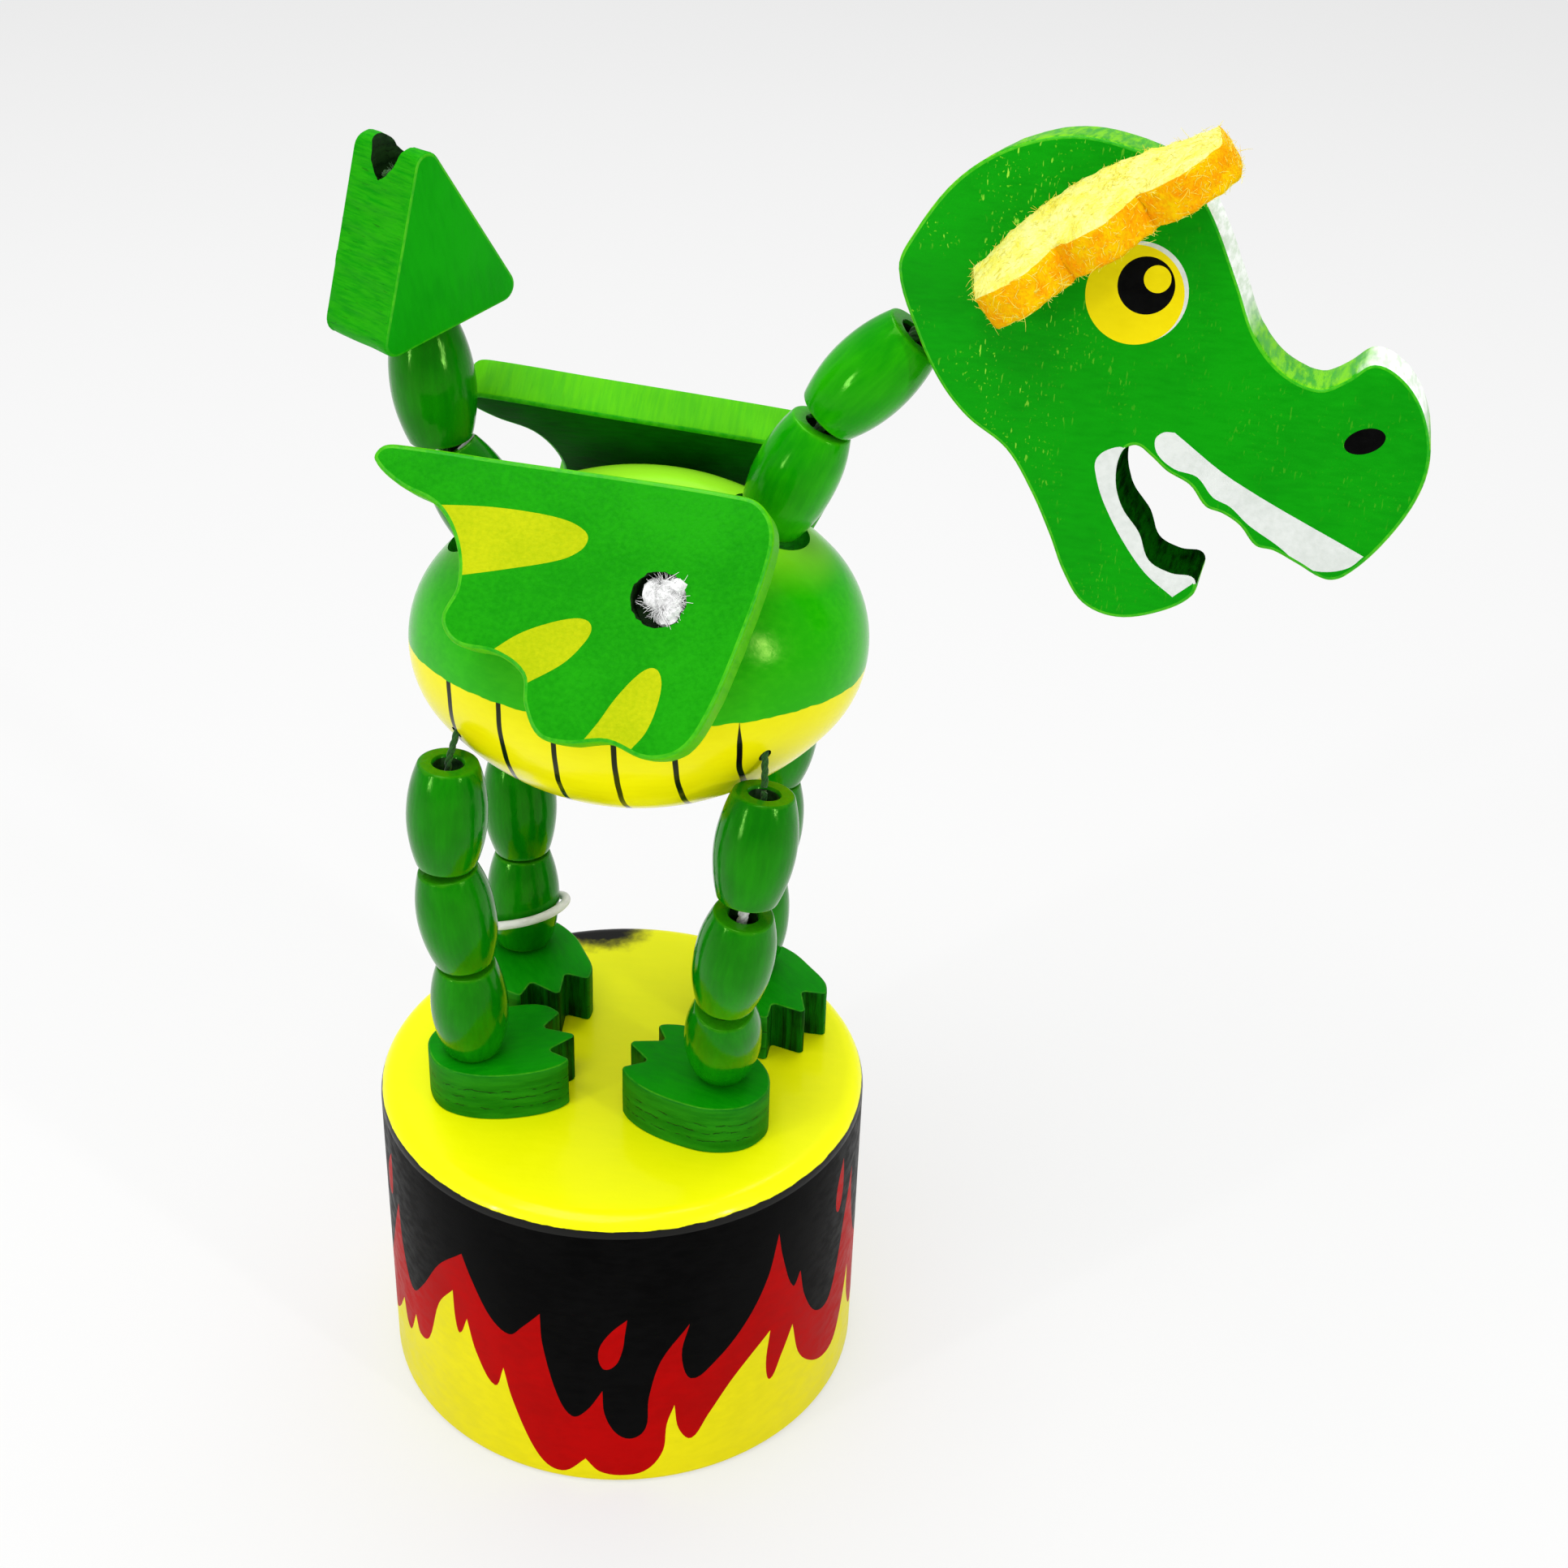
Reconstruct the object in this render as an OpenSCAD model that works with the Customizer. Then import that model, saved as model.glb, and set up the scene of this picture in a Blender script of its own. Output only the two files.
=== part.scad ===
// Push puppet: a jointed wooden dragon of turned beads on a round drum.
// Pushing the button under the drum slackens the cords and the figure sinks.
// The figure faces +X, its right side is -Y, and the drum's underside stands on Z = 0.
// Millimetres and degrees.

/* [Drum base] */
// Diameter of the drum
base_d = 50; // [48:0.5:60]
// Height of the drum
base_h = 35.4; // [32:0.2:45]
// Wall around the drum's bore
base_wall = 4.5; // [3.5:0.1:5]
// Thickness of the deck that the feet stand on
base_deck = 8; // [6:0.2:10]
// Rounding of the drum's top rim
base_rim_r = 2; // [0.5:0.1:3]
// Rounding of the drum's bottom edge
base_foot_r = 0.8; // [0.3:0.1:1.5]

/* [Button and spring] */
// Thickness of the push button
button_t = 9; // [7:0.5:10]
// Depth of the thumb recess under the button
button_recess = 5.5; // [4.5:0.1:7]
// Gap between the button and the bore, all round
button_clear = 0.35; // [0.2:0.05:0.6]
// Travel of the button
press_travel = 8; // [5:0.5:8.5]
// Diameter of the dish for the thumb
dish_d = 24; // [18:0.5:26]
// Depth of the dish for the thumb
dish_depth = 1.5; // [0.8:0.1:2.5]
// Outer diameter of the return spring
spring_d = 16; // [12:0.5:18]
// Wire of the return spring
spring_wire = 0.9; // [0.7:0.05:1]
// Turns of the return spring
spring_turns = 5; // [4:1:6]
// Depth of the spring's seats in button and deck
spring_seat = 1; // [0.5:0.1:2]

/* [Beads] */
// Length of a bead
bead_l = 10.9; // [10:0.1:12]
// Largest diameter of a bead
bead_d = 7.7; // [6.5:0.1:8.5]
// Diameter of a bead's flat ends
bead_end_d = 4.9; // [4:0.1:5.6]
// Hole through the beads, feet and deck
bead_hole_d = 2.8; // [2.6:0.1:3.2]
// Least gap between two beads
bead_gap = 0.2; // [0.1:0.05:0.5]

/* [Feet] */
// Thickness of a foot
foot_t = 5.5; // [4:0.1:8]
// Width of a foot
foot_w = 10.6; // [9:0.2:12]
// From the cord hole forward to the middle of the round heel
foot_lead = 0.7; // [0:0.1:2]
// From the cord hole forward to the tip of the middle toe
toe_reach = 10.7; // [9.5:0.1:11.5]
// How far the outer toes stay behind the middle one
toe_step_back = 1.5; // [0.5:0.1:2.5]
// Sideways step from toe to toe
toe_spread = 3.8; // [3:0.1:4.4]
// Depth of the notches between the toes
toe_notch = 3.4; // [2.6:0.1:4]

/* [Torso] */
// Length of the torso
torso_l = 43.4; // [42:0.2:50]
// Largest diameter of the torso
torso_d = 32; // [31:0.2:38]
// Radius of the torso's round ends
torso_end_r = 12; // [10:0.2:14]
// How far the torso's front end is raised
torso_pitch = 6.3; // [0:0.1:12]
// Torso middle, forward of the drum's axis
torso_x = 1.3; // [-2:0.1:4]
// Figure's middle plane, left of the drum's axis
figure_y = 1.45; // [0:0.05:3]
// Torso's middle, above the top of the right hind leg
torso_rise = 9.3; // [9.2:0.1:11]

/* [Neck and head] */
// Place of the neck, along the torso from its middle
neck_x = 13.4; // [12:0.1:15]
// How far the neck's end sits in the torso
neck_sink = 0.8; // [0:0.1:1.2]
// Radius of the hollow that the neck turns in
neck_socket_r = 4.3; // [4.2:0.1:4.8]
// Thickness of the head plate
head_t = 8.5; // [6:0.1:11]
// How far the head leans to the figure's left
head_lean = 9.5; // [0:0.5:15]
// Turn of the head to the figure's right
head_turn = 6; // [0:0.5:15]
// Gap along the neck between its last bead and the head
head_gap = 1.2; // [1:0.1:2]
// Depth of the cord hole in the head
head_hole = 12; // [8:0.5:16]

/* [Felt frills] */
// Length of a frill along the head
frill_l = 22.7; // [20:0.1:24]
// Length of the left frill, which is set lower
frill_left_l = 16; // [12:0.5:18]
// Reach of a frill's lobes from the head
frill_reach = 6.5; // [5:0.1:8]
// Depth of the notches between the lobes
frill_notch = 1.4; // [0.5:0.1:2]
// Thickness of the felt
frill_t = 2.8; // [2:0.1:4]
// How far a frill droops from square
frill_droop = 13; // [5:1:25]

/* [Tail] */
// Place of the tail, along the torso behind its middle
tail_x = 11.1; // [9:0.1:12]
// How far the tail's first bead is sunk in the torso
tail_sink = 4.6; // [3:0.1:5]
// Diameter of the tail's hole in the torso
tail_hole_d = 9.6; // [9.4:0.1:10.4]
// Width of the arrowhead at its base
tip_w = 16.5; // [12:0.5:20]
// Height of the arrowhead before its point is rounded
tip_h = 18; // [14:0.5:22]
// Thickness of the arrowhead
tip_t = 8; // [6:0.2:10]
// Rounding of the arrowhead's corners
tip_r = 1.4; // [0.8:0.1:2]
// Turn of the arrowhead on its cord
tip_turn = 57; // [0:1:90]
// Hole for the knots in the arrowhead's point
tip_hole_d = 4.2; // [3.6:0.1:4.6]

/* [Wings] */
// Thickness of a wing
wing_t = 4.2; // [3:0.1:6]
// Lean of the wings towards each other
wing_lean = 33; // [20:1:40]
// Gap between a wing and the torso
wing_gap = 0.3; // [0.25:0.05:0.8]
// Wing's hole, forward of the torso's middle
wing_hole_x = 5.4; // [2:0.2:8]
// Wing's hole, up the wing from where it touches the torso
wing_hole_rise = 1.6; // [0:0.2:3]
// Hole that holds the knot
wing_hole_d = 4.8; // [4.4:0.1:6]
// Hole for the cord under the knot
wing_cord_hole_d = 2.2; // [1.8:0.1:2.6]
// Depth of the knot's hole
wing_hole_depth = 2.8; // [2:0.1:2.8]
// Turn of the left wing on its cord
wing_left_turn = 4.5; // [0:0.5:10]
// How far the left wing's hole lies further back
wing_left_back = 2; // [0:0.5:3]
// How far the left wing's hole lies further up
wing_left_up = 1.2; // [0:0.1:1.5]

/* [Cords] */
// Diameter of the cords
cord_d = 1.1; // [0.8:0.05:1.2]
// Diameter of a knot
knot_d = 3.4; // [2.6:0.1:3.5]
// Wire of the elastic loop on the left hind leg
loop_wire = 1.2; // [0.8:0.1:1.6]
// Gap between the elastic loop and its bead
loop_gap = 0.25; // [0.2:0.05:0.6]

/* [Hidden] */
LEGS = ["hind_right", "hind_left", "front_right", "front_left"];
BEADS = ["lower", "middle", "upper"];
$fn = 48;
cord_fn = 32;

// Each leg's cord hole on the deck, and the heading of its toes
foot_at = [[-13.6, -7.9], [-13.4, 11], [11.5, -6.7], [10.8, 11.9]];
foot_heading = [23, -55, 164, -45];
// Lean of each leg's beads, forward and to the right
leg_lean = [
    [[0, 6], [-6, 3], [3, -2]],
    [[0, -3], [-2, -2], [0, -1]],
    [[5, 22], [9, 3], [6, -7]],
    [[4, -4], [6, -3], [6, 0]]
];
// Step of the heel's curve, and how far the sides end behind the toes' notches
heel_step = 7.5;
toe_shoulder = 1;
// Slack that shows the cord over the middle bead, per leg
knee_slack = [0, 0, 1.1, 0];
// Lean of the neck's and the tail's beads, forward
neck_lean = [24, 42];
tail_lean = [-30, -5];
// Lean of the arrowhead, forward and to the right
tip_lean = [-3.5, 9];

green = [0.13, 0.62, 0.1];
yellow = [0.95, 0.9, 0.1];
white = [0.95, 0.95, 0.93];
eps = 0.01;
end_r = bead_end_d / 2;
button_z = button_recess;
deck_z = base_h - base_deck;
bore_d = base_d - 2 * base_wall;
// Two cords lie side by side in the neck and the tail
pair_gap = 0.08;
pair_y = (cord_d + pair_gap) / 2;
// Cords stop short of each other at a joint
cord_stop = 0.6;
torso_cord_stop = 1.6;
// Play of a cord in its hole, rest of a knot on its step, and a cord's bulge at a bend
cord_play = 0.7;
knot_rest = 0.05;
bend = 1.12;
// Depth of the knots in the arrowhead, and of the room under the tail's first bead
tip_knot_depth = 5;
tail_floor = 0.8;

// Direction of a bead that leans forward by f and to the right by s
function lean_dir(f, s) = [cos(s) * sin(f), -sin(s), cos(s) * cos(f)];
function between(a, b) = acos(min(1, a * b));
// Gap along a bead's axis that keeps the rims of two tilted ends apart
function rim_gap(a, b) = bead_gap + end_r * sin(between(a, b));

// Legs: each bead stands on the one under it
function bead_dir(i, k) = k < 0 ? [0, 0, 1] : lean_dir(leg_lean[i][k].x, leg_lean[i][k].y);
function bead_slack(i, k) = k == 2 ? knee_slack[i] : 0;
function bead_base(i, k) = let (under = bead_dir(i, k - 1))
    bead_top(i, k - 1) + under * (rim_gap(under, bead_dir(i, k)) + bead_slack(i, k));
function bead_top(i, k) = k < 0
    ? [foot_at[i].x, foot_at[i].y, base_h + foot_t]
    : bead_base(i, k) + bead_l * bead_dir(i, k);
function hip(i) = bead_top(i, 2);

// Torso: an oval of revolution, with a side arc that runs into two round ends
torso_r = torso_d / 2;
torso_end_x = torso_l / 2 - torso_end_r;
torso_side_r = (torso_end_x^2 + torso_r^2 - torso_end_r^2) / (2 * (torso_r - torso_end_r));
torso_join_x = torso_end_x * torso_side_r / (torso_side_r - torso_end_r);
function torso_at(x) = abs(x) < torso_join_x
    ? torso_r - torso_side_r + sqrt(torso_side_r^2 - x^2)
    : sqrt(max(0, torso_end_r^2 - (abs(x) - torso_end_x)^2));
torso_c = [torso_x, figure_y, hip(0).z + torso_rise];
// A point of the torso's own frame, x along its length and z up
function torso_point(x, z) = torso_c + [
    x * cos(torso_pitch) - z * sin(torso_pitch),
    0,
    x * sin(torso_pitch) + z * cos(torso_pitch)
];

// Neck and tail: beads that stand on the torso, then the head and the arrowhead
neck_base = torso_point(neck_x, torso_at(neck_x) - neck_sink);
tail_base = torso_point(-tail_x, torso_at(tail_x) - tail_sink);
function chain_dir(lean, k) = lean_dir(lean[k], 0);
function chain_base(base, lean, k) = k == 0 ? base
    : let (under = chain_dir(lean, k - 1))
    chain_top(base, lean, k - 1) + under * rim_gap(under, chain_dir(lean, k));
function chain_top(base, lean, k) = chain_base(base, lean, k) + bead_l * chain_dir(lean, k);
head_at = chain_top(neck_base, neck_lean, 1) + chain_dir(neck_lean, 1) * head_gap;
tip_dir = lean_dir(tip_lean.x, tip_lean.y);
tip_at = chain_top(tail_base, tail_lean, 1) + tip_dir * rim_gap(chain_dir(tail_lean, 1), tip_dir);

// Outlines, drawn by hand as points on a smooth loop.
// Wing: x forward and y up from its hole. Tip, three scallops of the hind edge, front edge, top edge.
wing_outline = [
    [-26, 9.5], [-23.5, 7.5], [-20, 6], [-18, 3], [-17.5, -0.5], [-18.5, -3.5], [-17, -5.5], [-13.5, -6],
    [-11, -7.5], [-10.5, -10], [-9, -12.5], [-6.5, -13], [-3, -12.5], [0.5, -13.5], [3.5, -12.5], [5.5, -9],
    [7.5, -2.5], [9, 4], [9, 7], [7.5, 9], [5, 9.5], [-3, 10], [-14, 10.5], [-24, 11], [-25.5, 10.7]
];
// Head: x forward and y up from the neck. Crown, brow, nose, upper lip, mouth, lower jaw, throat.
head_outline = [
    [-2, 5], [-1, 8], [2, 12.5], [6, 15.5], [11, 17], [16, 16.5], [20, 15], [22.5, 12.5], [25.5, 7],
    [27.5, 3], [30, 0.5], [33, -0.5], [35, 0.5], [37, 2], [39.5, 1], [41.5, -1.5], [42.5, -5], [42, -8.5],
    [40, -12.5], [37.5, -15.5], [36, -16], [33.5, -15], [31.5, -14.2], [30, -14], [28.5, -12.5],
    [27, -11.7], [25.5, -11.3], [24, -9.7], [22, -8.8], [20.5, -7.7], [19.2, -7], [18.2, -7.7],
    [18, -10], [18.8, -12.2], [20.5, -14.2], [21.6, -16.4], [23.5, -17.2], [25.5, -17.4], [25.5, -19],
    [23, -20.8], [19.5, -21.8], [16.5, -21], [14.5, -18.5], [13, -15.5], [11, -12], [8.5, -8.7],
    [5, -6.5], [2.5, -4], [0.3, -0.5]
];
// Where the frills' back edges start on the head, their rise, and the length of a lobe
frill_at = [4.6, 4.9];
frill_left_at = [2.5, -1.4];
frill_rise = 38.4;
frill_lobe = 7.6;

function unit(v) = v / norm(v);
// A smooth closed curve through points: each span leaves and arrives along its neighbours' chord
function smooth_loop(p, steps = 4) = let (n = len(p)) [
    for (i = [0 : n - 1], j = [0 : steps - 1])
        let (
            a = p[i],
            b = p[(i + 1) % n],
            reach = norm(b - a),
            leave = unit(b - p[(i + n - 1) % n]) * reach,
            arrive = unit(p[(i + 2) % n] - a) * reach,
            t = j / steps
        )
        a * (2 * t^3 - 3 * t^2 + 1) + leave * (t^3 - 2 * t^2 + t)
            + b * (3 * t^2 - 2 * t^3) + arrive * (t^3 - t^2)
];
// A polygon with each corner rounded by an arc of radius r
function rounded(p, r, steps = 6) = let (n = len(p)) [
    for (i = [0 : n - 1])
        let (
            back = unit(p[(i + n - 1) % n] - p[i]),
            next = unit(p[(i + 1) % n] - p[i]),
            half = between(back, next) / 2,
            middle = p[i] + unit(back + next) * r / sin(half),
            from = p[i] + back * r / tan(half) - middle,
            sweep = (180 - 2 * half) * sign(cross(-back, next))
        )
        for (j = [0 : steps])
            let (a = sweep * j / steps)
            middle + [from.x * cos(a) - from.y * sin(a), from.x * sin(a) + from.y * cos(a)]
];

module rod(p, q, d) {
    v = q - p;
    translate(p) rotate([0, acos(v.z / norm(v)), atan2(v.y, v.x)]) cylinder(h = norm(v), d = d);
}

// A solid turned along a bead's direction, from the bead's lower end
module along(p, d) {
    translate(p) rotate([0, acos(d.z), atan2(d.y, d.x)]) children();
}

module bead() {
    rise = (bead_d - bead_end_d) / 2;
    arc_r = ((bead_l / 2)^2 + rise^2) / (2 * rise);
    color(green) difference() {
        rotate_extrude() intersection() {
            square([bead_d, bead_l]);
            translate([bead_d / 2 - arc_r, bead_l / 2]) circle(arc_r, $fn = 120);
        }
        translate([0, 0, -1]) cylinder(h = bead_l + 2, d = bead_hole_d);
    }
}

// The cord inside one bead: one in a leg, two side by side in the neck and the tail
module bead_cord(offsets) {
    color(white) for (y = offsets) translate([0, y, cord_stop / 2])
        cylinder(h = bead_l - cord_stop, d = cord_d, $fn = cord_fn);
}

module base_drum() {
    color(yellow) difference() {
        rotate_extrude($fn = 96) difference() {
            square([base_d / 2, base_h]);
            translate([base_d / 2 - base_rim_r, base_h - base_rim_r]) difference() {
                square(base_rim_r + 1);
                circle(base_rim_r);
            }
            translate([base_d / 2 - base_foot_r, base_foot_r]) difference() {
                translate([0, -base_foot_r - 1]) square(base_foot_r + 1);
                circle(base_foot_r);
            }
        }
        translate([0, 0, -1]) cylinder(h = deck_z + 1, d = bore_d, $fn = 96);
        translate([0, 0, deck_z - eps]) cylinder(h = spring_seat + eps, d = spring_d + 1);
        for (p = foot_at) translate([p.x, p.y, deck_z - 1]) cylinder(h = base_deck + 2, d = bead_hole_d);
    }
}

module push_button() {
    hole_d = cord_d + cord_play;
    dish_r = ((dish_d / 2)^2 + dish_depth^2) / (2 * dish_depth);
    color([0.8, 0.65, 0.42]) difference() {
        translate([0, 0, button_z]) cylinder(h = button_t, d = bore_d - 2 * button_clear, $fn = 96);
        translate([0, 0, button_z + dish_depth - dish_r]) sphere(dish_r, $fn = 120);
        translate([0, 0, button_z + button_t - spring_seat])
            cylinder(h = spring_seat + 1, d = spring_d + 1);
        for (p = foot_at) translate([p.x, p.y, button_z - 1]) cylinder(h = button_t + 2, d = hole_d);
        for (i = [0, 1]) cord_groove(foot_at[i], foot_at[i + 2], hole_d);
    }
}

// A groove under the button that hides the cord between two holes
module cord_groove(a, b, w) {
    v = b - a;
    translate([a.x, a.y, button_z]) rotate(atan2(v.y, v.x))
        translate([0, -w / 2, -1]) cube([norm(v), w, 1 + w]);
}

// Return spring: an unbroken helix with close end turns
spring_rest = 0.08;
spring_low = button_z + button_t - spring_seat + spring_wire / 2 + spring_rest;
spring_high = deck_z + spring_seat - spring_wire / 2 - spring_rest;
spring_rings = 8;
spring_end_gap = 0.7;
spring_end_pitch = spring_wire + spring_end_gap;
spring_pitch = (spring_high - spring_low - 2 * spring_end_pitch) / (spring_turns - 2);
function spring_z(t) = t < 1 ? t * spring_end_pitch
    : t > spring_turns - 1 ? spring_high - spring_low - (spring_turns - t) * spring_end_pitch
    : spring_end_pitch + (t - 1) * spring_pitch;
spring_path = [
    for (i = [0 : spring_turns * spring_rings])
        let (t = i / spring_rings, r = (spring_d - spring_wire) / 2)
        [r * cos(360 * t), r * sin(360 * t), spring_low + spring_z(t)]
];
spring_self_gap = min([
    for (i = [0 : len(spring_path) - 1], j = [i + spring_rings - 2 : 1 : len(spring_path) - 1])
        norm(spring_path[i] - spring_path[j]) - spring_wire
]);
echo(spring_self_gap = spring_self_gap);

module return_spring() {
    sides = 6;
    last = len(spring_path) - 1;
    points = [
        for (i = [0 : last], j = [0 : sides - 1])
            let (p = spring_path[i], out = unit([p.x, p.y, 0]), a = 360 * j / sides)
            p + spring_wire / 2 * (out * cos(a) + [0, 0, sin(a)])
    ];
    walls = [
        for (i = [0 : last - 1], j = [0 : sides - 1])
            let (a = i * sides + j, b = i * sides + (j + 1) % sides)
            each [[a, b, b + sides], [a, b + sides, a + sides]]
    ];
    tail = last * sides;
    caps = [for (j = [1 : sides - 2]) each [[0, j + 1, j], [tail, tail + j, tail + j + 1]]];
    color("silver") polyhedron(points, concat(walls, caps));
}

// Two cords, each a U under the button from a hind leg to the front leg on its side
module drive_cords() {
    under = button_z + bend * cord_d / 2;
    top = base_h + foot_t - press_travel - cord_stop;
    color(white) for (i = [0, 1]) {
        a = [foot_at[i].x, foot_at[i].y, under];
        b = [foot_at[i + 2].x, foot_at[i + 2].y, under];
        rod(a, b, cord_d, $fn = cord_fn);
        for (p = [a, b]) {
            translate(p) sphere(d = bend * cord_d, $fn = cord_fn);
            rod(p, [p.x, p.y, top], cord_d, $fn = cord_fn);
        }
    }
}

// A foot: a round heel, then straight sides to three pointed toes
module foot(i) {
    heel = [for (a = [90 : heel_step : 270]) [foot_lead, 0] + foot_w / 2 * [cos(a), sin(a)]];
    toes = [
        [toe_reach - toe_notch - toe_shoulder, -foot_w / 2],
        [toe_reach - toe_step_back, -toe_spread],
        [toe_reach - toe_notch, -toe_spread / 2],
        [toe_reach, 0]
    ];
    color(green) translate([foot_at[i].x, foot_at[i].y, base_h]) rotate(foot_heading[i])
        linear_extrude(foot_t) difference() {
            polygon(concat(heel, toes, [for (j = [2 : -1 : 0]) [toes[j].x, -toes[j].y]]));
            circle(d = bead_hole_d);
        }
}

module leg_bead(i, k) {
    along(bead_base(i, k), bead_dir(i, k)) bead();
}

module leg_cord(i, k) {
    along(bead_base(i, k), bead_dir(i, k)) bead_cord([0]);
}

// A loose elastic ring that hangs aslant round the left hind leg's lower bead
module elastic_loop() {
    slant = [-8, -14, 0];
    rise = 0.44 * bead_l;
    ring_r = (bead_d / 2 + loop_gap + loop_wire / 2) / cos(slant.y);
    color(white) along(bead_base(1, 0), bead_dir(1, 0)) translate([0, 0, rise]) rotate(slant)
        rotate_extrude() translate([ring_r, 0]) circle(d = loop_wire, $fn = cord_fn);
}

// Where the cords enter the torso, two for the neck and two for the tail
function inner_end(i) = (i < 2 ? tail_base : neck_base) + [0, i % 2 == 0 ? -pair_y : pair_y, 0];

module torso_form() {
    rotate_extrude($fn = 96) intersection() {
        translate([0, -torso_l]) square([torso_d, 2 * torso_l]);
        union() {
            intersection() {
                translate([torso_r - torso_side_r, 0]) circle(torso_side_r, $fn = 160);
                translate([0, -torso_join_x]) square([torso_d, 2 * torso_join_x]);
            }
            for (s = [-1, 1]) intersection() {
                translate([0, s * torso_end_x]) circle(torso_end_r, $fn = 120);
                translate([0, s > 0 ? torso_join_x : -torso_l]) square([torso_d, torso_l - torso_join_x]);
            }
        }
    }
}

module torso() {
    color(green) difference() {
        translate(torso_c) rotate([0, 90 - torso_pitch, 0]) torso_form();
        translate(neck_base) sphere(neck_socket_r);
        along(tail_base, chain_dir(tail_lean, 0)) translate([0, 0, -tail_floor])
            cylinder(h = bead_l, d = tail_hole_d);
        for (i = [0 : 3]) rod(hip(i), inner_end(i), bead_hole_d);
        rod(wing_eye(1), wing_eye(-1), bead_hole_d);
    }
}

module torso_cords() {
    color(white) for (i = [0 : 3]) {
        v = unit(inner_end(i) - hip(i));
        rod(hip(i) + cord_stop * v, inner_end(i) - torso_cord_stop * v, cord_d, $fn = cord_fn);
    }
}

// A wing's own frame: x forward, y up the plate, z out of the torso, from its hole on the inner face
module wing_frame(side) {
    translate(wing_eye(side)) rotate([side > 0 ? 90 - wing_lean : 90 + wing_lean, 0, 0]) children();
}
// The hole's middle on the inner face of the right wing (1) or the left one (-1)
function wing_eye(side) = let (off = torso_r + wing_gap) torso_c + [
    wing_hole_x,
    side * (wing_hole_rise * sin(wing_lean) - off * cos(wing_lean)),
    off * sin(wing_lean) + wing_hole_rise * cos(wing_lean)
];

module wing_plate(shift) {
    color(green) difference() {
        translate(shift) linear_extrude(wing_t) polygon(smooth_loop(wing_outline));
        translate([0, 0, -1]) cylinder(h = wing_t + 2, d = wing_cord_hole_d);
        translate([0, 0, wing_t - wing_hole_depth]) cylinder(h = wing_hole_depth + 1, d = wing_hole_d);
    }
}

module wing_right() {
    wing_frame(1) wing_plate([0, 0]);
}

module wing_left() {
    wing_frame(-1) rotate(-wing_left_turn) mirror([0, 0, 1])
        wing_plate([wing_left_back, -wing_left_up]);
}

// The wings' cord runs across the torso and ends in a knot in each wing
module wing_cord() {
    knot_z = wing_t - wing_hole_depth + knot_d / 2 + knot_rest;
    color(white) {
        rod(wing_eye(1), wing_eye(-1), cord_d, $fn = cord_fn);
        for (side = [1, -1]) wing_frame(side) {
            sphere(d = bend * cord_d, $fn = cord_fn);
            mirror([0, 0, side > 0 ? 0 : 1]) cylinder(h = knot_z, d = cord_d, $fn = cord_fn);
            translate([0, 0, side * knot_z]) sphere(d = knot_d, $fn = cord_fn);
        }
    }
}

module neck_bead(k) {
    along(chain_base(neck_base, neck_lean, k), chain_dir(neck_lean, k)) bead();
}

module neck_cord(k) {
    along(chain_base(neck_base, neck_lean, k), chain_dir(neck_lean, k)) bead_cord([-pair_y, pair_y]);
}

// The head's own frame: x forward, y up the plate, z to the figure's right, from the end of the neck
module head_frame() {
    translate(head_at) rotate([-head_lean, 0, -head_turn]) rotate([90, 0, 0]) children();
}

module head() {
    d = chain_dir(neck_lean, 1);
    color(green) difference() {
        head_frame() linear_extrude(head_t, center = true) polygon(smooth_loop(head_outline));
        rod(head_at - bead_d / 2 * d, head_at + head_hole * d, bead_hole_d);
    }
}

module head_cord() {
    along(head_at, chain_dir(neck_lean, 1)) color(white) for (y = [-pair_y, pair_y])
        translate([0, y, cord_stop]) cylinder(h = head_hole - cord_stop, d = cord_d, $fn = cord_fn);
}

// One felt leaf: a straight back edge and a lobed front edge, as arcs of one wave
module frill(l) {
    lobes = round(l / frill_lobe);
    steps = 10;
    front = [
        for (i = [0 : lobes * steps])
            let (swell = abs(sin(180 * i / steps)))
            [l * i / (lobes * steps), frill_reach - frill_notch + frill_notch * swell]
    ];
    back = frill_t;
    color([1, 0.8, 0.15]) difference() {
        rotate([90 + frill_droop, 0, 0]) linear_extrude(frill_t)
            polygon(concat([[l, -back], [0, -back]], front));
        translate([-l, -2 * l, -2 * frill_reach]) cube([3 * l, 4 * l, 2 * frill_reach]);
    }
}

module frill_right() {
    head_frame() translate([frill_at.x, frill_at.y, head_t / 2]) rotate(frill_rise) frill(frill_l);
}

module frill_left() {
    head_frame() mirror([0, 0, 1]) translate([frill_left_at.x, frill_left_at.y, head_t / 2])
        rotate(frill_rise) frill(frill_left_l);
}

module tail_bead(k) {
    along(chain_base(tail_base, tail_lean, k), chain_dir(tail_lean, k)) bead();
}

module tail_cord(k) {
    along(chain_base(tail_base, tail_lean, k), chain_dir(tail_lean, k)) bead_cord([-pair_y, pair_y]);
}

module tail_tip() {
    color(green) translate(tip_at) rotate([tip_lean.y, tip_lean.x, 0]) difference() {
        rotate([0, 0, tip_turn]) rotate([90, 0, 0]) linear_extrude(tip_t, center = true)
            polygon(rounded([[-tip_w / 2, 0], [tip_w / 2, 0], [0, tip_h]], tip_r));
        translate([0, 0, -1]) cylinder(h = tip_h + 2, d = bead_hole_d);
        translate([0, 0, tip_h - tip_knot_depth - tip_r]) cylinder(h = tip_h, d = tip_hole_d);
    }
}

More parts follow.
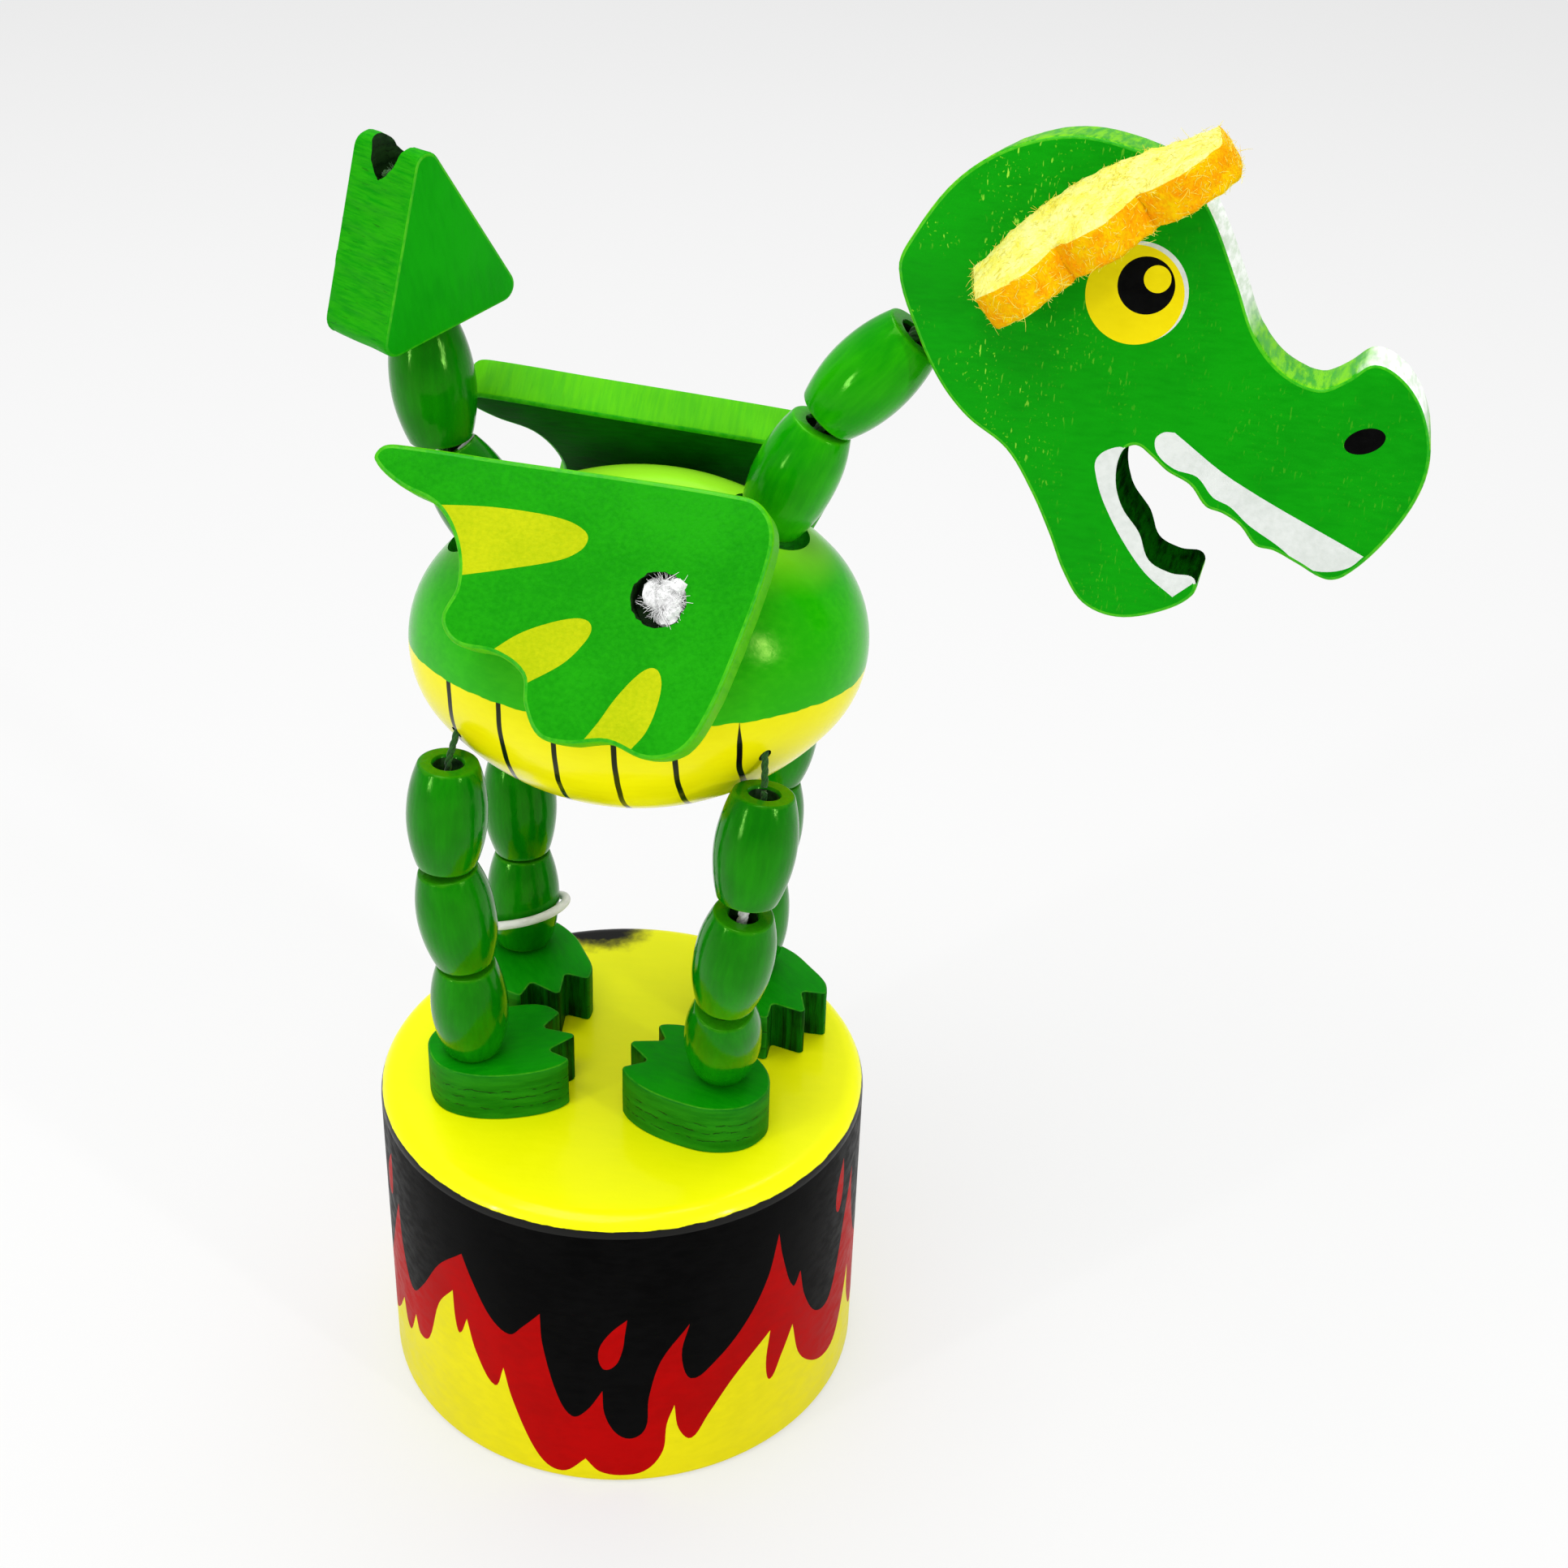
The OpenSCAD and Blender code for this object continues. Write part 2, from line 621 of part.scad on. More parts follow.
// The two cords end in one knot, sunk in the arrowhead's point
module tail_cord_tip() {
    knot_z = tip_h - tip_knot_depth - tip_r + knot_d / 2 + knot_rest;
    color(white) translate(tip_at) rotate([tip_lean.y, tip_lean.x, 0]) {
        for (y = [-pair_y, pair_y]) translate([0, y, cord_stop])
            cylinder(h = knot_z - cord_stop, d = cord_d, $fn = cord_fn);
        translate([0, 0, knot_z]) sphere(d = knot_d, $fn = cord_fn);
    }
}

base_drum();
push_button();
return_spring();
drive_cords();
for (i = [0 : 3]) foot(i);
for (i = [0 : 3], k = [0 : 2])
    leg_bead(i, k);
for (i = [0 : 3], k = [0 : 2])
    leg_cord(i, k);
elastic_loop();
torso();
torso_cords();
wing_cord();
wing_right();
wing_left();
neck_bead(0);  // neck_bead_lower
neck_bead(1);  // neck_bead_upper
neck_cord(0);  // neck_cord_lower
neck_cord(1);  // neck_cord_upper
head();
head_cord();
frill_right();
frill_left();
tail_bead(0);  // tail_bead_lower
tail_bead(1);  // tail_bead_upper
tail_cord(0);  // tail_cord_lower
tail_cord(1);  // tail_cord_upper
tail_tip();
tail_cord_tip();
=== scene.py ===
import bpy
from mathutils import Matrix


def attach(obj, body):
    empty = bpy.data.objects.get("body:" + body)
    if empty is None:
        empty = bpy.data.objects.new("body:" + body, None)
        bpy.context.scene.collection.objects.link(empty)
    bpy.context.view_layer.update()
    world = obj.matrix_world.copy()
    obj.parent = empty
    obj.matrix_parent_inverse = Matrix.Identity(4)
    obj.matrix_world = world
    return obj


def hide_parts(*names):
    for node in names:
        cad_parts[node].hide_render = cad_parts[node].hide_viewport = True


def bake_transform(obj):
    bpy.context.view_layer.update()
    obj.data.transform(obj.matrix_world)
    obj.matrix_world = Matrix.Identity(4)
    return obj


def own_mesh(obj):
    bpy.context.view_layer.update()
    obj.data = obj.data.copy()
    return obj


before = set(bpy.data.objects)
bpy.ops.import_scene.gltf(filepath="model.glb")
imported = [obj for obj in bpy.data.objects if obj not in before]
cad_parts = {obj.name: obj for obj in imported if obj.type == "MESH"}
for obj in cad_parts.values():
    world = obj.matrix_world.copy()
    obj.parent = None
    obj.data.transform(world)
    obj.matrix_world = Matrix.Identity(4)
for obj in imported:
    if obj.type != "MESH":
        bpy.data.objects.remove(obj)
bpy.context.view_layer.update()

import math
import random

import bmesh
import bpy
import numpy as np
from mathutils import Matrix, Vector, noise
from mathutils.geometry import delaunay_2d_cdt

# Everything below is in millimetres in the part's own frame, and goes to metres when an object is made.
MM = 0.001
UP = Vector((0, 0, 1))
scene = bpy.context.scene
scene.view_settings.view_transform = "Standard"

# Sizes repeated from the part's source
BASE_R, BASE_H, BORE_R, DECK_Z, SPRING_SEAT = 25.0, 35.4, 20.5, 27.4, 1
BUTTON_Z, BUTTON_T, PRESS = 5.5, 9, 8
FOOT_T = 5.5
BEAD_L, BEAD_D, BEAD_END, HOLE_D, BEAD_GAP = 10.9, 7.7, 4.9, 2.8, 0.2
LEGS = ["hind_right", "hind_left", "front_right", "front_left"]
BEADS = ["lower", "middle", "upper"]
FOOT_AT = [(-13.6, -7.9), (-13.4, 11.0), (11.5, -6.7), (10.8, 11.9)]
FOOT_HEADING = [23, -55, 164, -45]
LEG_LEAN = [
    [(0, 6), (-6, 3), (3, -2)],
    [(0, -3), (-2, -2), (0, -1)],
    [(5, 22), (9, 3), (6, -7)],
    [(4, -4), (6, -3), (6, 0)],
]
KNEE_SLACK = [0, 0, 1.1, 0]
TORSO_L, TORSO_R, TORSO_END_R, TORSO_PITCH = 43.4, 16.0, 12.0, 6.3
TORSO_X, FIGURE_Y, TORSO_RISE = 1.3, 1.45, 9.3
NECK_X, NECK_SINK, NECK_LEAN = 13.4, 0.8, [(24, 0), (42, 0)]
TAIL_X, TAIL_SINK, TAIL_LEAN = 11.1, 4.6, [(-30, 0), (-5, 0)]
TAIL_HOLE_D, TAIL_FLOOR = 9.6, 0.8
HEAD_GAP, HEAD_T, HEAD_ROLL, HEAD_TURN, HEAD_HOLE = 1.2, 8.5, -9.5, -6, 12
FRILL_RISE, FRILL_LOBE, FRILL_REACH, FRILL_DROOP = 38.4, 7.6, 6.5, 13
TIP_LEAN, TIP_TURN = (-3.5, 9), 57
TIP_W, TIP_H, TIP_T, TIP_R = 16.5, 18.0, 8.0, 1.4
TIP_KNOT_HOLE_D, TIP_KNOT_DEPTH = 4.2, 5
TIP_KNOT_Z = TIP_H - TIP_KNOT_DEPTH - TIP_R
WING_LEAN, WING_GAP, WING_HOLE_X, WING_HOLE_RISE = 33, 0.3, 5.4, 1.6
WING_T, KNOT_DEPTH, WING_CORD_HOLE_D, WING_HOLE_D = 4.2, 2.8, 2.2, 4.8
CORD_D, PAIR_Y = 1.1, 0.59
# Hip cords and their channels are thinner than the solid's, as little of them shows in the photograph
HIP_CORD_D, HIP_HOLE_D = 0.7, 1.1


def lean_dir(forward, right):
    """The way a bead points that leans by these degrees."""
    f, s = math.radians(forward), math.radians(right)
    return Vector((math.cos(s) * math.sin(f), -math.sin(s), math.cos(s) * math.cos(f)))


def along(p, d):
    """A frame at p whose z runs along d."""
    tilt = Matrix.Rotation(math.atan2(d.y, d.x), 4, "Z") @ Matrix.Rotation(math.acos(min(1, d.z)), 4, "Y")
    return Matrix.Translation(p) @ tilt


def rim_gap(under, d):
    """How far a bead that points along d stands off the one under it, rim on rim."""
    return BEAD_GAP + BEAD_END / 2 * math.sin(under.angle(d))


def chain(p, under, leans, slack=0.0, first=True):
    """(lower end, direction) of each bead in a row that stands on p. Slack opens the third bead's joint."""
    out = []
    for k, lean in enumerate(leans):
        d = lean_dir(*lean)
        if k or first:
            p = p + under * rim_gap(under, d)
        if k == 2:
            p = p + under * slack
        out.append((p.copy(), d))
        p, under = p + d * BEAD_L, d
    return out


LEG_CHAIN = [
    chain(Vector((*FOOT_AT[i], BASE_H + FOOT_T)), UP, LEG_LEAN[i], KNEE_SLACK[i]) for i in range(4)
]


def top(link):
    return link[0] + link[1] * BEAD_L


HIPS = [top(links[2]) for links in LEG_CHAIN]
TORSO_C = Vector((TORSO_X, FIGURE_Y, HIPS[0].z + TORSO_RISE))
END_X = TORSO_L / 2 - TORSO_END_R
SIDE_R = (END_X**2 + TORSO_R**2 - TORSO_END_R**2) / (2 * (TORSO_R - TORSO_END_R))
JOIN_X = END_X * SIDE_R / (SIDE_R - TORSO_END_R)


def torso_at(x):
    """The torso's radius at x along its axis."""
    x = abs(x)
    if x < JOIN_X:
        return TORSO_R - SIDE_R + math.sqrt(SIDE_R**2 - x * x)
    return math.sqrt(max(0.0, TORSO_END_R**2 - (x - END_X) ** 2))


def torso_point(x, z):
    c, s = math.cos(math.radians(TORSO_PITCH)), math.sin(math.radians(TORSO_PITCH))
    return TORSO_C + Vector((x * c - z * s, 0, x * s + z * c))


NECK_BASE = torso_point(NECK_X, torso_at(NECK_X) - NECK_SINK)
TAIL_BASE = torso_point(-TAIL_X, torso_at(TAIL_X) - TAIL_SINK)
NECK = chain(NECK_BASE, UP, NECK_LEAN, first=False)
TAIL = chain(TAIL_BASE, UP, TAIL_LEAN, first=False)
HEAD_AT = top(NECK[1]) + NECK[1][1] * HEAD_GAP
TIP_DIR = lean_dir(*TIP_LEAN)
TIP_AT = top(TAIL[1]) + TIP_DIR * rim_gap(TAIL[1][1], TIP_DIR)


def inner_end(i):
    """Where leg i's cord leaves the torso, at the tail or at the neck."""
    return (TAIL_BASE if i < 2 else NECK_BASE) + Vector((0, -PAIR_Y if i % 2 == 0 else PAIR_Y, 0))


def turn(x=0.0, y=0.0, z=0.0):
    """The rotation of a solid by x, then y, then z degrees."""
    return (
        Matrix.Rotation(math.radians(z), 4, "Z")
        @ Matrix.Rotation(math.radians(y), 4, "Y")
        @ Matrix.Rotation(math.radians(x), 4, "X")
    )


HEAD_FRAME = Matrix.Translation(HEAD_AT) @ turn(x=HEAD_ROLL, z=HEAD_TURN) @ turn(x=90)
TIP_FRAME = Matrix.Translation(TIP_AT) @ turn(x=TIP_LEAN[1], y=TIP_LEAN[0])


def wing_eye(side):
    """The hole's middle on the inner face of the right wing (1) or the left one (-1)."""
    off, lean = TORSO_R + WING_GAP, math.radians(WING_LEAN)
    y = WING_HOLE_RISE * math.sin(lean) - off * math.cos(lean)
    return TORSO_C + Vector((WING_HOLE_X, side * y, off * math.sin(lean) + WING_HOLE_RISE * math.cos(lean)))


WING_FRAME = {s: Matrix.Translation(wing_eye(s)) @ turn(x=90 - s * WING_LEAN) for s in (1, -1)}

# The camera stands where the photograph was taken from.
camera = bpy.data.objects.new("camera", bpy.data.cameras.new("camera"))
scene.collection.objects.link(camera)
camera.matrix_world = Matrix(
    (
        (0.9864, -0.1103, 0.1221, 0.042165),
        (0.1615, 0.5090, -0.8455, -0.182639),
        (0.0311, 0.8537, 0.5199, 0.183276),
        (0, 0, 0, 1),
    )
)
camera.data.sensor_width = 36
camera.data.lens = 52.17
camera.data.clip_start = 0.01
scene.camera = camera


# ---- shading helpers
class Shade:
    """A procedural material, with short calls for its nodes, in the object's own millimetres."""

    def __init__(self, name, spec=0.5, **sockets):
        self.material = bpy.data.materials.new(name)
        self.material.use_nodes = True
        self.tree = self.material.node_tree
        self.shader = self.tree.nodes["Principled BSDF"]
        self.shader.inputs["Specular IOR Level"].default_value = spec
        for key, value in sockets.items():
            self.shader.inputs[key.replace("_", " ")].default_value = value
        self.coords = self.node("TexCoord").outputs["Object"]

    def node(self, kind, inputs=None, **props):
        made = self.tree.nodes.new("ShaderNode" + kind)
        for key, value in props.items():
            setattr(made, key, value)
        for key, value in (inputs or {}).items():
            self.feed(made.inputs[key], value)
        return made

    def feed(self, socket, value):
        if isinstance(value, bpy.types.NodeSocket):
            self.tree.links.new(value, socket)
        else:
            socket.default_value = value

    def set(self, key, value):
        self.feed(self.shader.inputs[key], value)

    def place(self, scale=(1, 1, 1), move=(0, 0, 0)):
        scaled = tuple(1000 * s for s in scale)
        made = self.node("Mapping", {"Vector": self.coords, "Scale": scaled, "Location": move})
        return made.outputs[0]

    def axis(self, which):
        parts = self.node("SeparateXYZ", {0: self.place()})
        return parts.outputs[which]

    def noise(self, scale, stretch=(1, 1, 1), detail=3.0, rough=0.55, move=(0, 0, 0)):
        made = self.node(
            "TexNoise",
            {"Vector": self.place(stretch, move), "Scale": scale, "Detail": detail, "Roughness": rough},
        )
        return made.outputs[0]

    def math(self, op, a, b=0.0):
        return self.node("Math", {0: a, 1: b}, operation=op).outputs[0]

    def add(self, a, b):
        return self.math("ADD", a, b)

    def sub(self, a, b):
        return self.math("SUBTRACT", a, b)

    def mul(self, a, b):
        return self.math("MULTIPLY", a, b)

    def most(self, a, b):
        return b if a is None else self.math("MAXIMUM", a, b)

    def gap(self, a, b):
        return self.math("ABSOLUTE", self.sub(a, b))

    def share(self, a, part, b):
        """A part of a, and b for the rest."""
        return self.add(self.mul(a, part), self.mul(b, 1 - part))

    def wobble(self, reach, scale, **kind):
        """Noise about 0 that spans the reach."""
        return self.mul(self.sub(self.noise(scale, **kind), 0.5), reach)

    def step(self, value, low, high, a=0.0, b=1.0):
        made = self.node(
            "MapRange",
            {"Value": value, "From Min": low, "From Max": high, "To Min": a, "To Max": b},
            interpolation_type="SMOOTHSTEP",
        )
        return made.outputs[0]

    def mix(self, amount, a, b):
        made = self.node("Mix", data_type="RGBA")
        self.feed(made.inputs[0], amount)
        for socket, value in ((made.inputs[6], a), (made.inputs[7], b)):
            self.feed(socket, (*value, 1.0) if isinstance(value, tuple) and len(value) == 3 else value)
        return made.outputs[2]

    def tones(self, value, low, high, dark, light):
        """Dark to light as the value goes from low to high."""
        return self.mix(self.step(value, low, high), dark, light)

    def base(self):
        """What makes the colour so far."""
        return self.shader.inputs["Base Color"].links[0].from_socket

    def color(self, value):
        self.set("Base Color", value)

    def rough(self, value, low, high):
        self.set("Roughness", self.step(value, 0.3, 0.7, low, high))

    def bump(self, height, depth):
        made = self.node("Bump", {"Height": height, "Strength": 1.0, "Distance": depth * MM})
        self.set("Normal", made.outputs[0])


NEAR_BLACK = (0.004, 0.004, 0.003)


def paint(name, dark, light, rough, spec, grain, depth, coat=0.0):
    """Brushed or sprayed paint over wood: broad shade changes, a fine grain showing through, small pores."""
    s = Shade(name, spec, Coat_Weight=coat, Coat_Roughness=0.12)
    broad, fine = s.noise(0.12, detail=2), s.noise(1.0, grain, detail=4)
    s.color(s.tones(s.share(broad, 0.55, fine), 0.34, 0.66, dark, light))
    s.rough(fine, rough - 0.07, rough + 0.09)
    s.bump(s.add(fine, s.mul(s.noise(3.2, detail=2), 0.6)), depth)
    return s


def flecks(s, base, light, cut, stretch, where):
    """Short light scratches and worn specks over a base colour."""
    speck = s.step(s.noise(1.0, stretch, detail=2, rough=0.4, move=(3.1, 7.7, 1.3)), cut, cut + 0.05)
    patch = s.step(s.noise(0.22, detail=2, move=(9, 2, 4)), 0.42, 0.62)
    return s.mix(s.mul(s.mul(speck, patch), where), base, light)


def make_bead_lacquer(name, dark, light):
    """Thin lacquer on turned beads: faint grain along the axis, and a paler lime painted highlight at the end
    rims.
    """
    s = Shade(name, spec=0.3, Specular_Tint=(0.42, 1.0, 0.16, 1.0))
    streak = s.noise(1.0, (1.7, 1.7, 0.2), detail=4)
    color = s.tones(s.share(streak, 0.35, s.noise(0.16, detail=2)), 0.3, 0.7, dark, light)
    # the end rims are painted a paler lime: painted highlight
    end = s.gap(s.axis(2), BEAD_L / 2)
    wear_and_sheen = s.step(s.add(end, s.mul(s.noise(1.1, detail=3), 0.5)), 5.35, 5.75, 0.0, 0.16)
    s.color(s.mix(wear_and_sheen, color, (0.14, 0.56, 0.006)))
    s.rough(streak, 0.11, 0.17)
    s.bump(s.add(streak, s.mul(s.noise(2.0, (1, 1, 0.5), detail=3), 0.9)), 0.022)
    return s.material


def make_torso_paint():
    """Green above a level line, yellow with thin black rings below it; the green is painted paler lime where
    it faces up, a painted highlight.
    """
    s = Shade("torso_paint", spec=0.25, Specular_Tint=(0.7, 1.0, 0.2, 1.0))
    level, x = s.axis(2), s.axis(0)
    split = s.add(level, s.wobble(0.5, 0.5, detail=2))
    fine = s.noise(1.0, (0.2, 1.8, 1.8), detail=4)
    shade = s.step(s.share(s.noise(0.1, detail=2), 0.6, fine), 0.35, 0.65)
    green = s.mix(shade, (0.010, 0.40, 0.001), (0.024, 0.48, 0.002))
    # surfaces that face up are painted paler lime: painted highlight from the light above
    up = s.node("SeparateXYZ", {0: s.node("NewGeometry").outputs["Normal"]}).outputs[2]
    green = s.tones(up, 0.6, 1.0, green, (0.30, 0.74, 0.02))
    yellow = s.mix(shade, (0.88, 0.81, 0.001), (0.92, 0.86, 0.002))
    belly = s.step(split, TORSO_C.z - 0.46, TORSO_C.z - 0.54)
    lines, bend = None, s.wobble(0.6, 0.16, detail=1, move=(4, 4, 4))
    for at in (-13.7, -8.2, -3.0, 2.45, 7.85, 13.2):
        off = s.math("ABSOLUTE", s.add(s.sub(x, at), bend))
        # the foremost ring starts as a point
        width = s.step(level, TORSO_C.z - 0.2, TORSO_C.z - 3.4, 0.02, 0.25) if at > 13 else 0.25
        lines = s.most(lines, s.step(s.sub(off, width), 0.03, -0.03))
    s.color(s.mix(belly, green, s.mix(lines, yellow, NEAR_BLACK)))
    s.rough(fine, 0.15, 0.21)
    s.bump(s.add(fine, s.mul(s.noise(1.6, detail=2), 0.7)), 0.01)
    return s.material


def make_head_paint():
    """Flat green paint, scratched and specked towards the back of the head."""
    s = paint("head_paint", (0.001, 0.26, 0.001), (0.002, 0.315, 0.001), 0.45, 0.06, (0.5, 1.9, 1.9), 0.02)
    wear_and_sheen = s.step(s.axis(0), 21, 2, 0.1, 1.0)
    base = flecks(s, s.base(), (0.34, 0.74, 0.05), 0.66, (4.6, 1.1, 1.4), wear_and_sheen)
    s.color(flecks(s, base, (0.16, 0.56, 0.015), 0.665, (3.2, 3.8, 1.6), wear_and_sheen))
    return s.material


def make_edge_paint(name, stretch, dark, light, depth, spec=0.04, rough=0.45, pits=0.5):
    """Sawn edges under thin paint: saw marks across the thickness, dark pores."""
    s = Shade(name, spec)
    saw = s.noise(1.0, stretch, detail=5, rough=0.65)
    color = s.tones(s.share(saw, 0.7, s.noise(0.25, detail=2)), 0.36, 0.62, dark, light)
    pores = s.step(s.noise(1.0, tuple(1.6 * v for v in stretch), detail=3, move=(5, 1, 2)), 0.36, 0.29)
    s.color(s.mix(s.mul(pores, pits), color, (0.001, 0.07, 0.001)))
    s.rough(saw, rough - 0.09, rough + 0.1)
    s.bump(saw, depth)
    return s.material


def make_head_edge():
    """The head's sawn edge: green with saw marks, and a near-white painted highlight along the brow and on
    the nose.
    """
    s = Shade("head_edge", spec=0.05)
    saw = s.noise(1.0, (1.6, 1.6, 0.2), detail=5, rough=0.65)
    x, y, ragged = s.axis(0), s.axis(1), s.wobble(3.0, 0.5, stretch=(1, 1, 0.4), detail=4)
    # brow and nose: near-white painted highlight where the edge faces the light
    brow = s.mul(s.step(s.add(y, ragged), 2.6, 6.0), s.step(x, 17.5, 20.5))
    nose = s.mul(s.step(s.add(x, ragged), 35.6, 37.6), s.step(y, -4.0, -1.0))
    green = s.tones(saw, 0.36, 0.62, (0.02, 0.36, 0.002), (0.18, 0.58, 0.01))
    painted_highlight = s.tones(saw, 0.36, 0.62, (0.66, 0.78, 0.62), (0.95, 0.98, 0.94))
    s.color(s.mix(s.most(brow, nose), green, painted_highlight))
    s.rough(saw, 0.36, 0.55)
    s.bump(saw, 0.03)
    return s.material


def make_foot_side():
    """The layers of the wood show as a few broken dark lines round a foot's side."""
    s = Shade("foot_side", spec=0.1)
    layer = s.noise(1.0, (0.16, 0.16, 1.1), detail=6, rough=0.6)
    level, line = s.add(s.axis(2), s.wobble(1.5, 0.3, detail=5, rough=0.65)), None
    for at in (1.5, 2.6, 3.5):
        line = s.most(line, s.step(s.gap(level, at), 0.09, 0.03))
    line = s.mul(line, s.step(s.noise(0.9, (1, 1, 1.6), detail=5, move=(2, 8, 5)), 0.47, 0.55))
    color = s.tones(layer, 0.36, 0.66, (0.002, 0.15, 0.001), (0.012, 0.22, 0.003))
    s.color(s.mix(s.mul(line, 0.8), color, (0.001, 0.03, 0.001)))
    s.rough(layer, 0.5, 0.62)
    s.bump(s.sub(layer, s.mul(line, 0.5)), 0.07)
    return s.material


def make_drum_top():
    """Yellow paint that comes a little way over the rim, with a near-black patch near the back of the top."""
    yellows = (0.97, 0.98, 0.001), (1.0, 1.0, 0.002)
    s = paint("drum_top", *yellows, 0.35, 0.08, (0.35, 1.2, 1.2), 0.01, coat=0.2)
    ragged = s.mul(s.noise(0.45, detail=3, move=(1, 6, 2)), 0.35)
    side = s.step(s.add(s.axis(2), ragged), 34.42, 34.32)
    # a near-black patch on the top near its back rim, darkest at the rim
    dx = s.math("DIVIDE", s.add(s.axis(0), 8.3), 6.6)
    dy = s.math("DIVIDE", s.sub(s.axis(1), 22.9), 5.0)
    far = s.math("SQRT", s.add(s.mul(dx, dx), s.mul(dy, dy)))
    dark_patch = s.step(s.add(far, s.mul(s.noise(0.8, detail=4), 0.5)), 1.35, 0.75)
    s.color(s.mix(s.most(side, dark_patch), s.base(), NEAR_BLACK))
    return s.material


def make_wood(name, dark, light):
    """Wood with its rings along x and dark pores."""
    s = Shade(name, spec=0.2)
    rings = s.noise(1.0, (0.14, 1.3, 1.3), detail=5, rough=0.6)
    pores = s.step(s.noise(1.0, (0.3, 5, 5), detail=2, move=(1, 1, 8)), 0.42, 0.34)
    color = s.tones(rings, 0.36, 0.66, dark, light)
    s.color(s.mix(s.mul(pores, 0.7), color, tuple(v * 0.45 for v in dark)))
    s.rough(rings, 0.5, 0.66)
    s.bump(rings, 0.05)
    return s.material


def make_felt(name, dark, light, sheen=(1.0, 0.93, 0.35)):
    """Pressed felt: clumps and hairs, with a soft sheen."""
    tint = (*sheen, 1.0)
    s = Shade(name, spec=0.08, Roughness=0.95, Sheen_Weight=0.35, Sheen_Roughness=0.6, Sheen_Tint=tint)
    clump = s.noise(0.55, detail=4, rough=0.6)
    hair = s.noise(3.6, (1, 0.6, 1.5), detail=3, rough=0.7)
    s.color(s.tones(s.share(clump, 0.6, hair), 0.36, 0.64, dark, light))
    s.bump(s.add(hair, s.mul(clump, 0.7)), 0.25)
    return s.material


def make_yarn(name, dark, light, stretch, depth, rough=0.85, sheen=0.3):
    s = Shade(name, spec=0.15, Roughness=rough, Sheen_Weight=sheen, Sheen_Roughness=0.5)
    ply = s.noise(1.0, stretch, detail=4, rough=0.6)
    s.color(s.tones(ply, 0.3, 0.62, dark, light))
    s.bump(ply, depth)
    return s.material


def make_steel():
    s = Shade("spring_steel", Metallic=1.0)
    drawn = s.noise(1.0, (1.2, 1.2, 5), detail=4)
    s.color(s.mix(drawn, (0.42, 0.42, 0.44), (0.66, 0.66, 0.68)))
    s.rough(drawn, 0.24, 0.42)
    s.bump(drawn, 0.01)
    return s.material


# Dark and light tone, roughness, specular level, the grain's stretch and depth
PAINT = {
    name: paint(name, *look).material
    for name, *look in (
        ("wing_paint", (0.005, 0.265, 0.001), (0.011, 0.34, 0.002), 0.5, 0.05, (2.2, 2.2, 2.2), 0.06),
        # the wings' inner faces are painted nearly black green: painted shade under the wings
        ("wing_back", (0.001, 0.07, 0.001), (0.003, 0.12, 0.001), 0.55, 0.05, (0.5, 2.2, 2.2), 0.03),
        ("tip_paint", (0.001, 0.31, 0.001), (0.003, 0.37, 0.001), 0.45, 0.07, (1.8, 0.35, 1.8), 0.03),
        ("foot_paint", (0.001, 0.245, 0.001), (0.004, 0.31, 0.001), 0.45, 0.06, (0.4, 2.0, 2.0), 0.02),
        # the rounded rims of the plates and of the feet are painted a paler lime than the faces: painted
        # highlight along the rims
        ("worn_rim", (0.004, 0.34, 0.001), (0.07, 0.50, 0.004), 0.4, 0.16, (1.6, 1.6, 1.6), 0.03),
        ("foot_rim", (0.004, 0.22, 0.001), (0.05, 0.36, 0.004), 0.45, 0.12, (1.6, 1.6, 1.6), 0.03),
        ("print_yellow", (0.82, 0.66, 0.001), (0.88, 0.72, 0.002), 0.4, 0.05, (0.8, 1.4, 1.4), 0.012),
        ("stripe_yellow", (0.40, 0.50, 0.001), (0.52, 0.58, 0.003), 0.5, 0.05, (2.4, 2.4, 2.4), 0.06),
        ("print_white", (0.60, 0.64, 0.60), (0.71, 0.74, 0.71), 0.45, 0.1, (1.8, 1.8, 1.8), 0.02),
        ("print_black", (0.001, 0.001, 0.001), (0.003, 0.003, 0.003), 0.4, 0.03, (1.5, 1.5, 1.5), 0.01),
        ("drum_black", (0.0005, 0.0005, 0.0005), (0.002, 0.002, 0.002), 0.36, 0.02, (0.6, 0.6, 1.2), 0.01),
        ("drum_red", (0.37, 0.001, 0.001), (0.45, 0.001, 0.001), 0.36, 0.02, (0.6, 0.6, 1.2), 0.01),
        ("drum_yellow", (0.75, 0.68, 0.001), (0.82, 0.74, 0.002), 0.36, 0.05, (0.6, 0.6, 1.2), 0.01),
    )
}
BEAD_LACQUER = make_bead_lacquer("bead_lacquer", (0.001, 0.15, 0.001), (0.006, 0.235, 0.001))
# the neck beads get a lighter copy of the bead lacquer: painted light, as they stand higher and catch more
# light
NECK_LACQUER_LIT = make_bead_lacquer("neck_lacquer_lit", (0.002, 0.26, 0.001), (0.02, 0.40, 0.001))
TORSO_PAINT = make_torso_paint()
HEAD_PAINT = make_head_paint()
HEAD_EDGE = make_head_edge()
FOOT_SIDE = make_foot_side()
DRUM_TOP = make_drum_top()
# the wings' sawn edges are painted a paler lime than the faces, all round: a painted highlight for the lit
# top edge
WING_EDGE = make_edge_paint(
    "sawn_edge", (2.2, 2.2, 0.2), (0.065, 0.45, 0.002), (0.095, 0.52, 0.003), 0.02, pits=0.12
)
